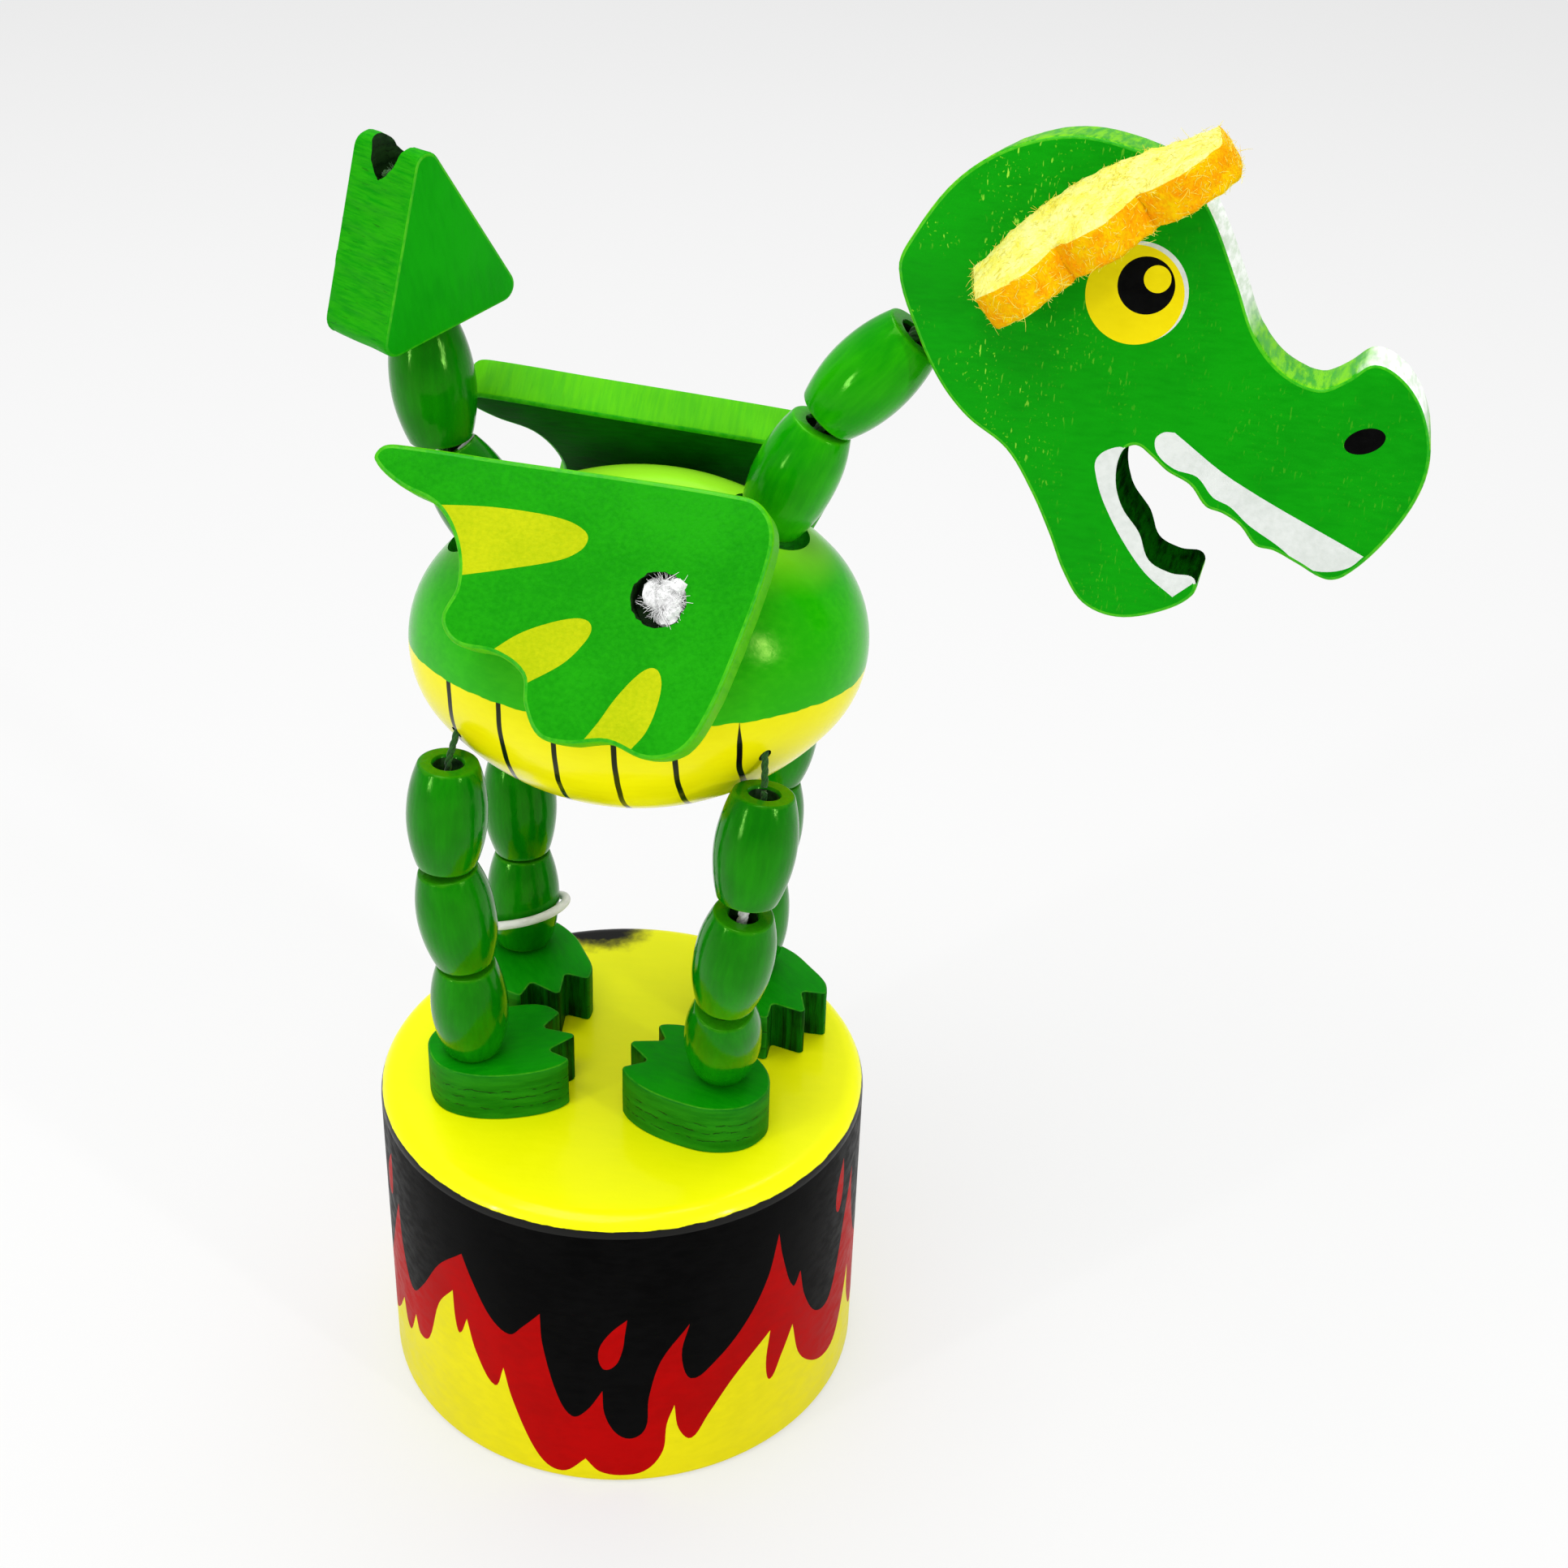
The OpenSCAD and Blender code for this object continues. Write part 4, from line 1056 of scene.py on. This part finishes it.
# ---- torso
def make_torso():
    # the neck's socket is a little smaller than the solid's
    steps, segments, sharp, ball_steps, ball_r = 72, 128, 50, 24, 4.0
    bm = bmesh.new()
    profile = []
    for k in range(steps + 1):
        # the steps are closer together at the ends
        x = -math.cos(math.pi * k / steps) * TORSO_L / 2
        profile.append((0 if k in (0, steps) else torso_at(x), x))
    lathe(bm, profile, segments)
    lie = Matrix.Translation(TORSO_C) @ turn(y=90 - TORSO_PITCH)
    bmesh.ops.transform(bm, matrix=lie, verts=bm.verts)
    outward(bm)
    torso = add_object("body", bm, [TORSO_PAINT], sharp=sharp)
    ball = bmesh.new()
    arc = []
    for k in range(ball_steps + 1):
        t = math.pi * k / ball_steps
        arc.append((0 if k in (0, ball_steps) else ball_r * math.sin(t), -ball_r * math.cos(t)))
    lathe(ball, arc, 48)
    tools = [add_object("tool", ball, [SOCKET_PAINT], Matrix.Translation(NECK_BASE))]
    d = TAIL[0][1]
    tools.append(rod(TAIL_BASE - d * TAIL_FLOOR, TAIL_BASE + d * BEAD_L, TAIL_HOLE_D, SOCKET_PAINT, 64))
    tools += [rod(HIPS[i], inner_end(i), HIP_HOLE_D, HOLE_SHADE) for i in range(4)]
    tools.append(rod(wing_eye(1), wing_eye(-1), HOLE_D, HOLE_SHADE))
    cut(torso, tools, sharp=sharp)
    finish_piece(torso, "torso", "torso")


# ---- wings
WING_OUTLINE = [
    (-26, 9.5), (-23.5, 7.5), (-20, 6), (-18, 3), (-17.5, -0.5), (-18.5, -3.5), (-17, -5.5), (-13.5, -6),
    (-11, -7.5), (-10.5, -10), (-9, -12.5), (-6.5, -13), (-3, -12.5), (0.5, -13.5), (3.5, -12.5),
    (5.5, -9), (7.5, -2.5), (9, 4), (9, 7), (7.5, 9), (5, 9.5), (-3, 10), (-14, 10.5), (-24, 11),
    (-25.5, 10.7),
]
WING_STRIPES = [
    [(-22, 6.0), (-15.9, 6.4), (-11.7, 6.3), (-8.6, 5.9), (-7, 5.2), (-6.6, 4.5), (-7.1, 3.5),
     (-8.8, 2.5), (-13.2, 1.3), (-17.5, 0.3), (-20.5, -0.4)],
    [(-15.6, -7.4), (-13.7, -5.7), (-11.6, -4.1), (-9.3, -3), (-7, -2.3), (-5.8, -2.4), (-5.4, -3.1),
     (-5.9, -4.3), (-7.5, -6.2), (-10.6, -8.3), (-13, -10)],
    [(-6.6, -15.4), (-5.2, -12.8), (-3.9, -10.8), (-2.7, -8.7), (-1.1, -6.6), (0, -5.8), (0.7, -6),
     (1.1, -7.1), (0.9, -9.1), (0.2, -11.3), (-1, -13), (-2.4, -15.6)],
]


def make_wing(side):
    name = "right" if side > 0 else "left"
    # the left wing sits a little further forward and lower, and turned
    move, left_turn = Vector((0, 0)) if side > 0 else Vector((2, -1.2)), -4.5
    outline = [p + move for p in smooth_loop(WING_OUTLINE, 6)]
    stripes = [([p + move for p in smooth_loop(s, 5, sharp=(0, len(s) - 1))], 3) for s in WING_STRIPES]
    # the inner face takes slot 4, painted shade
    bm = plate(outline, stripes, 0, WING_T, r=0.4, rows=4, rough=0.05, back_index=4, seed=side * 3)
    if side < 0:
        mirrored(bm, after=turn(z=left_turn))
    there = WING_FRAME[side]
    slots = [PAINT["wing_paint"], WING_EDGE, PAINT["worn_rim"], PAINT["stripe_yellow"], PAINT["wing_back"]]
    wing = add_object(f"wing_plate_{name}", bm, slots, there)
    out = there.to_3x3() @ Vector((0, 0, side))
    eye = wing_eye(side)
    floor = along(eye + out * (WING_T - KNOT_DEPTH), out)
    deep = ragged_hole(d=WING_HOLE_D, h=3.6, there=floor, seed=side)
    cut(wing, [rod(eye - out, eye + out * 3, WING_CORD_HOLE_D, HOLE_SHADE), deep])
    finish_piece(wing, f"wing_{name}", f"wing_{name}")


def ragged_hole(d, h, there, seed):
    """The tool for a drilled hole with a slightly torn rim."""
    bm = bmesh.new()
    levels = [0, h * 0.45, h * 0.7, h]
    rings = lathe(bm, [(0, 0)] + [(d / 2, z) for z in levels] + [(0, h)], 40)
    for ring in rings[2:-1]:
        for k, v in enumerate(ring):
            tear = 0.09 * noise.noise(Vector((k * 0.9, seed * 5.0, v.co.z)))
            v.co.x *= 1 + tear
            v.co.y *= 1 + tear
    return add_object("tool", bm, [HOLE_SHADE], there)


# ---- head
HEAD_OUTLINE = [
    (-2, 5), (-1, 8), (2, 12.5), (6, 15.5), (11, 17), (16, 16.5), (20, 15), (22.5, 12.5), (25.5, 7),
    (27.5, 3), (30, 0.5), (33, -0.5), (35, 0.5), (37, 2), (39.5, 1), (41.5, -1.5), (42.5, -5),
    (42, -8.5), (40, -12.5), (37.5, -15.5), (36, -16), (33.5, -15), (31.5, -14.2), (30, -14),
    (28.5, -12.5), (27, -11.7), (25.5, -11.3), (24, -9.7), (22, -8.8), (20.5, -7.7), (19.2, -7),
    (18.2, -7.7), (18, -10), (18.8, -12.2), (20.5, -14.2), (21.6, -16.4), (23.5, -17.2), (25.5, -17.4),
    (25.5, -19), (23, -20.8), (19.5, -21.8), (16.5, -21), (14.5, -18.5), (13, -15.5), (11, -12),
    (8.5, -8.7), (5, -6.5), (2.5, -4), (0.3, -0.5),
]
UPPER_TEETH = [
    (20.7, -6.3), (21.3, -5.6), (22.2, -5.5), (27.5, -8.8), (38.7, -13.6), (37.7, -14.7), (36, -15.3),
    (34.2, -15.2), (31.8, -13.7), (29.2, -12.3), (27.5, -11), (26, -10.4), (24.5, -8.9), (22.6, -8.5),
    (21.1, -7.5),
]
LOWER_TEETH = [
    (18.4, -7.4), (17, -7.6), (16.1, -8.6), (16.3, -10), (17.2, -12.1), (19.1, -15), (21.4, -17.6),
    (23.9, -19.3), (25.3, -18), (26.5, -16.5), (21, -12.5),
]


def make_head():
    white, yellow, black, mouth = 3, 4, 5, 6
    slots = [HEAD_PAINT, HEAD_EDGE, PAINT["worn_rim"], PAINT["print_white"], PAINT["print_yellow"]]
    slots += [PAINT["print_black"], MOUTH_SHADE]
    prints = [
        (smooth_loop(UPPER_TEETH, 5, sharp=(2, 4)), white),
        (smooth_loop(LOWER_TEETH, 5, sharp=(7, 8, 9, 10)), white),
        (circle(17.72, 5.38, 4.06, 64), white),
        (circle(17.5, 5.16, 3.98, 64), yellow),
        (circle(18.32, 6.0, 2.31, 48), black),
        (circle(19.15, 6.6, 1.1, 40), yellow),
        (circle(37.24, -4.22, 1.66, 40, ry=1.0, tilt=24), black),
    ]

    def edge_kind(place, index):
        # inside the open mouth the rough sawn edge is painted nearly black, painted shade in the mouth's
        # recess, and its rim white
        x, y = place.x, place.y
        if 17 < x < 26.5 and -18 < y < -7.2 and (y < -3.6 - 0.34 * x or x < 18.6):
            return mouth if index == EDGE else white
        return index

    t = HEAD_T / 2
    bm = plate(smooth_loop(HEAD_OUTLINE, 6), prints, -t, t, r=0.3, rows=6, rough=0.06, edge_at=edge_kind)
    head = add_object("head_plate", bm, slots, HEAD_FRAME)
    d = NECK[1][1]
    cut(head, [rod(HEAD_AT - d * 4, HEAD_AT + d * HEAD_HOLE, HOLE_D, HOLE_SHADE)])
    finish_piece(head, "head", "head")


# ---- felt
FRILL_L = 22.7


def drift(*places):
    """A shift whose three parts are the noise at three places."""
    return Vector([noise.noise(p) for p in places])


def make_frill(name, length, at, mirror, seed):
    """One leaf of felt: a soft thick sheet with a lobed outer edge, and loose fibres all over it."""
    notch, t, droop = 1.8, 3.2, math.radians(FRILL_DROOP)
    hairs_per_mm, hair_radii = 170, [0.024, 0.024, 0.022, 0.02, 0.01]
    lobes = round(length / FRILL_LOBE)
    rng = random.Random(seed)
    nx, ny, nz = int(length * 3.2), 20, 9

    def edge(u):
        return FRILL_REACH - notch + notch * abs(math.sin(math.pi * lobes * u)) ** 0.8

    def shape(u, v, w):
        """A point of the leaf: u along it, v out from the head, w through its thickness, each from 0 to 1."""
        x, y, z = u * length, v * edge(u), w * t
        c, s = math.cos(math.pi / 2 + droop), math.sin(math.pi / 2 + droop)
        # the back edge is glued on in a flat arch, the front edge stays straight
        arch = 0.9 * (1 - u) + 1.8 * math.sin(math.pi * min(1.0, u * 1.06))
        arch *= (length / FRILL_L) * (1 - v) ** 0.8
        return Vector((x, y * c - z * s + arch, y * s + z * c))

    bm = bmesh.new()
    grid = {}
    for i in range(nx + 1):
        for j in range(ny + 1):
            for k in range(nz + 1):
                faces = (i in (0, nx)) + (j in (0, ny)) + (k in (0, nz))
                if not faces:
                    continue
                u, v, w = i / nx, j / ny, k / nz
                p = shape(u, v, w)
                # the cut edges are a little rounded and the whole leaf is slightly uneven
                if faces > 1:
                    core = shape(0.5 + (u - 0.5) * 0.94, 0.06 + (v - 0.06) * 0.86, 0.5 + (w - 0.5) * 0.72)
                    p = p.lerp(core, 0.192)
                q = p * 0.9 + Vector((seed * 3.0, 0, 0))
                p += drift(q, q + Vector((9, 0, 0)), q + Vector((0, 9, 0))) * 0.16
                p += drift(q * 3, q * 3.1, q * 2.9) * 0.07
                p.z = max(p.z, 0.02)
                grid[i, j, k] = bm.verts.new(p)

    def quads(spot, rows, columns, index, flip):
        for p in range(rows):
            for q in range(columns):
                corners = [spot(p, q), spot(p + 1, q), spot(p + 1, q + 1), spot(p, q + 1)]
                face = bm.faces.new([grid[c] for c in (corners[::-1] if flip else corners)])
                face.material_index = index

    for k in (0, nz):
        quads(lambda p, q: (p, q, k), nx, ny, 0, k == 0)
    for j in (0, ny):
        quads(lambda p, q: (p, j, q), nx, nz, 1, j == ny)
    for i in (0, nx):
        quads(lambda p, q: (i, p, q), ny, nz, 1, i == 0)
    outward(bm)
    spots = [(f.calc_center_median(), f.normal.copy()) for f in bm.faces]
    hairs = bmesh.new()
    for _ in range(int(hairs_per_mm * length)):
        p, n = spots[rng.randrange(len(spots))]
        wild = scatter(rng).normalized()
        flat = (wild - n * wild.dot(n)).normalized()
        d = (flat + n * rng.uniform(0.0, 0.5)).normalized()
        long = rng.uniform(0.25, 0.8) if rng.random() < 0.93 else rng.uniform(0.9, 2.0)
        bend = n.cross(flat) * rng.uniform(-0.6, 0.6) - n * 0.15
        path = [p - n * 0.06 + d * long * q + bend * long * q * q for q in (0, 0.25, 0.5, 0.75, 1.0)]
        for q in path:
            q.z = max(q.z, 0.04)
        tube(hairs, path, hair_radii, 3)
    place = Matrix.Translation((at[0], at[1], HEAD_T / 2)) @ turn(z=FRILL_RISE)
    there = HEAD_FRAME @ place
    if mirror:
        # the far side's leaf is the same leaf seen in a mirror
        for m in (bm, hairs):
            mirrored(m, before=place)
        there = HEAD_FRAME
    leaf = add_object(f"felt_{name}", bm, [FELT_FACE, FELT_EDGE], there, sharp=70)
    finish_piece(leaf, "head", f"frill_{name}")
    fuzz = add_object(f"felt_fibres_{name}", hairs, [FELT_HAIR], there)
    finish_piece(fuzz, "head", None)


# ---- tail tip
def make_tip():
    corners = [Vector((-TIP_W / 2, 0)), Vector((TIP_W / 2, 0)), Vector((0, TIP_H))]
    outline = round_corners(corners, [TIP_R] * 3, 8)
    dense, spacing = [], 0.4
    for a, b in pairs(outline):
        n = max(1, int((b - a).length / spacing))
        dense += [a + (b - a) * k / n for k in range(n)]
    bm = plate(dense, [], -TIP_T / 2, TIP_T / 2, r=0.3, rows=8, rough=0.3)
    slots = [PAINT["tip_paint"], TIP_EDGE, PAINT["worn_rim"]]
    tip = add_object("arrowhead", bm, slots, TIP_FRAME @ turn(z=TIP_TURN) @ turn(x=90))
    d = (TIP_FRAME.to_3x3() @ UP).normalized()
    floor = TIP_FRAME @ Matrix.Translation((0, 0, TIP_KNOT_Z))
    deep = ragged_hole(d=TIP_KNOT_HOLE_D, h=8, there=floor, seed=2)
    cut(tip, [rod(TIP_AT - d, TIP_AT + d * 14, HOLE_D, HOLE_SHADE), deep])
    finish_piece(tip, "tail_tip", "tail_tip")


# ---- cords
def twist(bm, path, d, pitch=2.6, strands=3):
    """A cord of strands laid round a line."""
    spacing, lay_r, strand_r, sides = 0.22, 0.235, 0.262, 7
    fine = []
    for a, b in zip(path, path[1:]):
        n = max(2, int((b - a).length / spacing))
        fine += [a + (b - a) * k / n for k in range(n)]
    fine.append(path[-1])
    for s in range(strands):
        points, run, side = [], 0.0, None
        for i, p in enumerate(fine):
            t = (fine[min(i + 1, len(fine) - 1)] - fine[max(i - 1, 0)]).normalized()
            side = t.orthogonal().normalized() if side is None else (side - t * side.dot(t)).normalized()
            if i:
                run += (p - fine[i - 1]).length
            a = 2 * math.pi * (run / pitch + s / strands)
            points.append(p + d * lay_r * (side * math.cos(a) + t.cross(side) * math.sin(a)))
        tube(bm, points, d * strand_r, sides)


def cord_piece(name, paths, nodes, a, b=None, start=None, end=None, yarn=SHADED_YARN, d=CORD_D):
    """Cords along the paths that ride on body a; with a body b given they ride no body and stay where they
    are made. start and end are not used.
    """
    bm = bmesh.new()
    for path in paths:
        twist(bm, path, d)
    piece = add_object(name, bm, [yarn])
    if b is None:
        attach(piece, a)
    else:
        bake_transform(piece)
    if nodes:
        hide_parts(*nodes)


# A reach on either side of a joint, passed to cord_piece as start and end, which it does not use
BEND = 0.6


def make_cords():
    """Each piece runs from the middle of one bead to the middle of the next and bends at their joint."""
    for i, leg in enumerate(LEGS):
        links = LEG_CHAIN[i]
        foot = Vector((*FOOT_AT[i], BASE_H + FOOT_T))
        low, knot = foot - UP * 0.5, "base"
        for k, level in enumerate(BEADS):
            base, d = links[k]
            middle = base + d * (BEAD_L / 2)
            under = foot if k == 0 else top(links[k - 1])
            cord_piece(
                f"string_{leg}_{level}", [[low, under, base, middle]], [f"cord_{leg}_{level}"],
                knot, f"{leg}_{level}", under - (under - low).normalized() * BEND, base + d * BEND,
                # only the open knee of the right front leg shows white cord; the other cords are painted dark
                # green, painted shade in the joints
                CORD_YARN if (leg, level) == ("front_right", "upper") else SHADED_YARN,
            )
            low, knot = middle, f"{leg}_{level}"
        name, d, hip, end = f"string_{leg}_hip", links[2][1], HIPS[i], inner_end(i)
        if i == 0:
            inner = hip + (end - hip).normalized() * 0.4
            path = [low, hip, inner, inner + (end - inner) * 0.3]
            cord_piece(name, [path], [], knot, "torso", hip - d * BEND, inner, d=HIP_CORD_D)
        else:
            cord_piece(name, [[low, hip + d * 0.1]], [], knot, d=HIP_CORD_D)
    inside_paths = []
    for i in range(4):
        hip, end = HIPS[i], inner_end(i)
        d = (end - hip).normalized()
        inside_paths.append([hip + d * (0.5 if i else 6), end - d * 1.6])
    cord_piece("strings_in_body", inside_paths, ["torso_cords"], "torso", d=HIP_CORD_D)
    for part, links, last, depth in (
        ("neck", NECK, (HEAD_AT, NECK[1][1], "head", "head_cord"), 11.5),
        ("tail", TAIL, (TIP_AT, TIP_DIR, "tail_tip", "tail_cord_tip"), 12.6),
    ):
        stops = [(*link, f"{part}_{lv}", f"{part}_cord_{lv}") for link, lv in zip(links, ("lower", "upper"))]
        for k, (base, d, body, node) in enumerate(stops + [last]):
            middle = base + d * (BEAD_L / 2)
            if k == 0:
                line, ride = [base - d * 0.4, base + d * 0.3, middle], [body]
            else:
                under = top(links[k - 1])
                line = [low, under, base, middle if k < 2 else base + d * depth]
                ride = [knot, body, under - links[k - 1][1] * BEND, base + d * BEND]
            paths = [[p + Vector((0, y, 0)) for p in line] for y in (-PAIR_Y, PAIR_Y)]
            cord_piece(f"strings_{node}", paths, [node], *ride)
            low, knot = middle, body
    # under the button, from a hind leg's hole to the front leg's on the same side
    paths, lift, drop = [], 0.62, 8.9
    under, rise = BUTTON_Z + lift, UP * (BASE_H + FOOT_T - drop)
    for i in (0, 1):
        a, b = Vector((*FOOT_AT[i], under)), Vector((*FOOT_AT[i + 2], under))
        ends = [Vector((p.x, p.y, 0)) + rise for p in (a, b)]
        across = [a + UP * 0.5, a + (b - a) * 0.03, b + (a - b) * 0.03, b + UP * 0.5]
        paths.append([ends[0], *across, ends[1]])
    cord_piece("strings_drive", paths, ["drive_cords"], "button", yarn=CORD_YARN)
    cord_piece("string_wings", [[wing_eye(1), wing_eye(-1)]], ["wing_cord"], "torso", yarn=CORD_YARN)


def make_knot(name, there, size, body, seed, tuft, yarn):
    """An overhand knot of soft cord, its cut ends frayed."""
    fuzz, frays = 420, 110
    rng = random.Random(seed)
    bm = bmesh.new()
    loop = []
    for k in range(61):
        t = 2 * math.pi * k / 60
        x, y = math.sin(t) + 2 * math.sin(2 * t), math.cos(t) - 2 * math.cos(2 * t)
        loop.append(Vector((x, y, -1.35 * math.sin(3 * t))) * (size * 0.155))
    twist(bm, loop, size * 0.4, 2.2)
    core = [Vector((0, 0, size * (-0.3 + 0.075 * k))) for k in range(9)]
    tube(bm, core, [size * v for v in (0.2, 0.3, 0.36, 0.4, 0.42, 0.4, 0.35, 0.27, 0.16)], 14)
    for v in bm.verts:
        places = v.co * 1.4, v.co * 1.5 + Vector((4, 0, 0)), v.co * 1.3 + Vector((0, 4, 0))
        v.co += drift(*places) * size * 0.06
    for _ in range(fuzz):
        d = scatter(rng, 0.7, 0.5).normalized()
        start = Vector((d.x, d.y, d.z * 0.8)) * size * rng.uniform(0.36, 0.5)
        long = size * rng.uniform(0.06, 0.2)
        bend = scatter(rng) * long * 0.5
        path = [start, start + d * long * 0.5 + bend * 0.3, start + d * long + bend]
        tube(bm, path, [0.035, 0.03, 0.016], 3)
    for end in tuft:
        for _ in range(frays):
            spread = scatter(rng, 0.6)
            start = spread * size * 0.07
            tip = Vector(end) * size * rng.uniform(0.7, 1.1) + spread * size * 0.12
            middle = start.lerp(tip, 0.5) + Vector((0, 0, size * 0.1)) + spread * size * 0.04
            tube(bm, [start, middle, tip], [0.06, 0.05, 0.018], 4)
    finish_piece(add_object(name, bm, [yarn], there), body, None)


def make_knots():
    wing_size, tail_size, wing_rise, tail_rise = 3.6, 2.6, 1.9, 1.0
    tuft = [(0.42, 0.42, 0.12), (0.28, -0.55, 0.12)]
    for side, name in ((1, "knot_right"), (-1, "knot_left")):
        there = WING_FRAME[side] @ Matrix.Translation((0.65, 0.2, side * (WING_T - KNOT_DEPTH + wing_rise)))
        if side < 0:
            there = there @ turn(x=180)
        make_knot(name, there, wing_size, "torso", 5 + side, tuft, KNOT_YARN)
    there = TIP_FRAME @ Matrix.Translation((0, 0, TIP_KNOT_Z + tail_rise))
    make_knot("knot_tail", there, tail_size, "tail_tip", 11, [(0.1, 0.1, 0.3)], SHADED_YARN)


def make_loop():
    """The elastic ring that hangs aslant, longer across than deep, with a slight wave."""
    rise, short, longer, wire_r, wave = 3.6, 4.43, 0.39, 0.46, 0.06
    n, sides = 120, 16
    base, d = LEG_CHAIN[1][0]
    slant, shift = turn(x=-10.7) @ turn(y=-17.5), Matrix.Translation((-0.06, -0.17, 0))
    level = along(base, d) @ turn(z=-math.degrees(math.atan2(d.y, d.x)))
    place = level @ Matrix.Translation((0, 0, rise)) @ slant @ shift
    bm = bmesh.new()
    rings = []
    for a in full_turn(n):
        r, z = short + longer * math.cos(a) ** 2, wave * math.sin(3 * a + 1)
        w = wire_r * (1 + 0.05 * noise.noise(Vector((*polar(3, a), 2))))
        ring = [(*polar(r + w * math.cos(b), a), z + w * math.sin(b)) for b in full_turn(sides)]
        rings.append([bm.verts.new(p) for p in ring])
    for one, two in pairs(rings):
        join_rings(bm, one, two, 0, None)
    outward(bm)
    ring = add_object("elastic_ring", bm, [ELASTIC], place)
    finish_piece(ring, "hind_left_lower", "elastic_loop")


def make_spring():
    wire, outer_d, turns, per_turn, play = 0.9, 16, 5, 40, 0.08
    r, fixed = (outer_d - wire) / 2, DECK_Z + SPRING_SEAT
    low = BUTTON_Z + BUTTON_T - SPRING_SEAT + wire / 2 + play
    high = fixed - wire / 2 - play
    end = wire + 0.7
    pitch = (high - low - 2 * end) / (turns - 2)
    path = []
    for k in range(turns * per_turn + 1):
        t = k / per_turn
        z = t * end if t < 1 else (high - low - (turns - t) * end if t > turns - 1 else end + (t - 1) * pitch)
        path.append(Vector((*polar(r, 2 * math.pi * t), low + z)))
    bm = bmesh.new()
    tube(bm, path, wire / 2, 12)
    spring = add_object("coil_spring", bm, [STEEL])
    finish_piece(spring, "base", "return_spring")
    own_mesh(spring)


def make_button():
    """The button's own solid is right; it gets bare turned wood."""
    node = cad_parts["push_button"]
    node.data.materials.clear()
    node.data.materials.append(BARE_WOOD)
    for face in node.data.polygons:
        face.material_index = 0


make_drum()
make_beads()
make_feet()
make_torso()
make_wing(1)
make_wing(-1)
make_head()
make_frill("right", FRILL_L, (4.6, 4.9), False, 21)
make_frill("left", 16.0, (2.5, -1.4), True, 22)
make_tip()
make_cords()
make_knots()
make_loop()
make_spring()
make_button()


# ---- floor and light
def make_stage():
    bm = bmesh.new()
    bmesh.ops.create_grid(bm, x_segments=8, y_segments=8, size=4000)
    s = Shade("pale_floor", spec=0.0, Roughness=0.9)
    s.color(s.mix(s.noise(0.004, detail=2), (0.78, 0.78, 0.78), (0.81, 0.81, 0.81)))
    # the floor looks paler than the light that it sends back to the object
    rays, seen = s.node("LightPath").outputs, None
    for kind in ("Is Camera Ray", "Is Glossy Ray", "Is Transmission Ray"):
        seen = s.most(seen, rays[kind])
    white = s.node("Emission", {"Color": (0.93, 0.93, 0.93, 1.0), "Strength": 1.0})
    mixed = s.node("MixShader", {0: s.mul(seen, 0.6), 1: s.shader.outputs[0], 2: white.outputs[0]})
    out = next(n for n in s.tree.nodes if n.type == "OUTPUT_MATERIAL")
    s.tree.links.new(mixed.outputs[0], out.inputs["Surface"])
    floor = add_object("floor", bm, [s.material])

    world = bpy.data.worlds.new("studio")
    scene.world = world
    world.use_nodes = True
    back = world.node_tree.nodes["Background"]
    back.inputs["Color"].default_value = (1, 1, 1, 1)
    back.inputs["Strength"].default_value = 0.5

    for name, place, aim_z, wide, tall, power in (
        ("key", (-0.12, -0.28, 0.85), 0.06, 0.5, 0.5, 3.3),
        ("overhead", (0.0, 0.2, 0.8), 0.06, 0.5, 0.5, 3.0),
        ("strip_right", (0.42, -0.28, 0.2), 0.07, 0.026, 0.14, 0.6),
        ("strip_left", (-0.34, -0.38, 0.15), 0.07, 0.026, 0.14, 0.55),
    ):
        lamp = bpy.data.lights.new(name, "AREA")
        lamp.shape, lamp.size, lamp.size_y, lamp.energy = "RECTANGLE", wide, tall, power
        made = bpy.data.objects.new(name, lamp)
        scene.collection.objects.link(made)
        made.location = place
        made.rotation_euler = (Vector((0, 0, aim_z)) - Vector(place)).to_track_quat("-Z", "Y").to_euler()


make_stage()
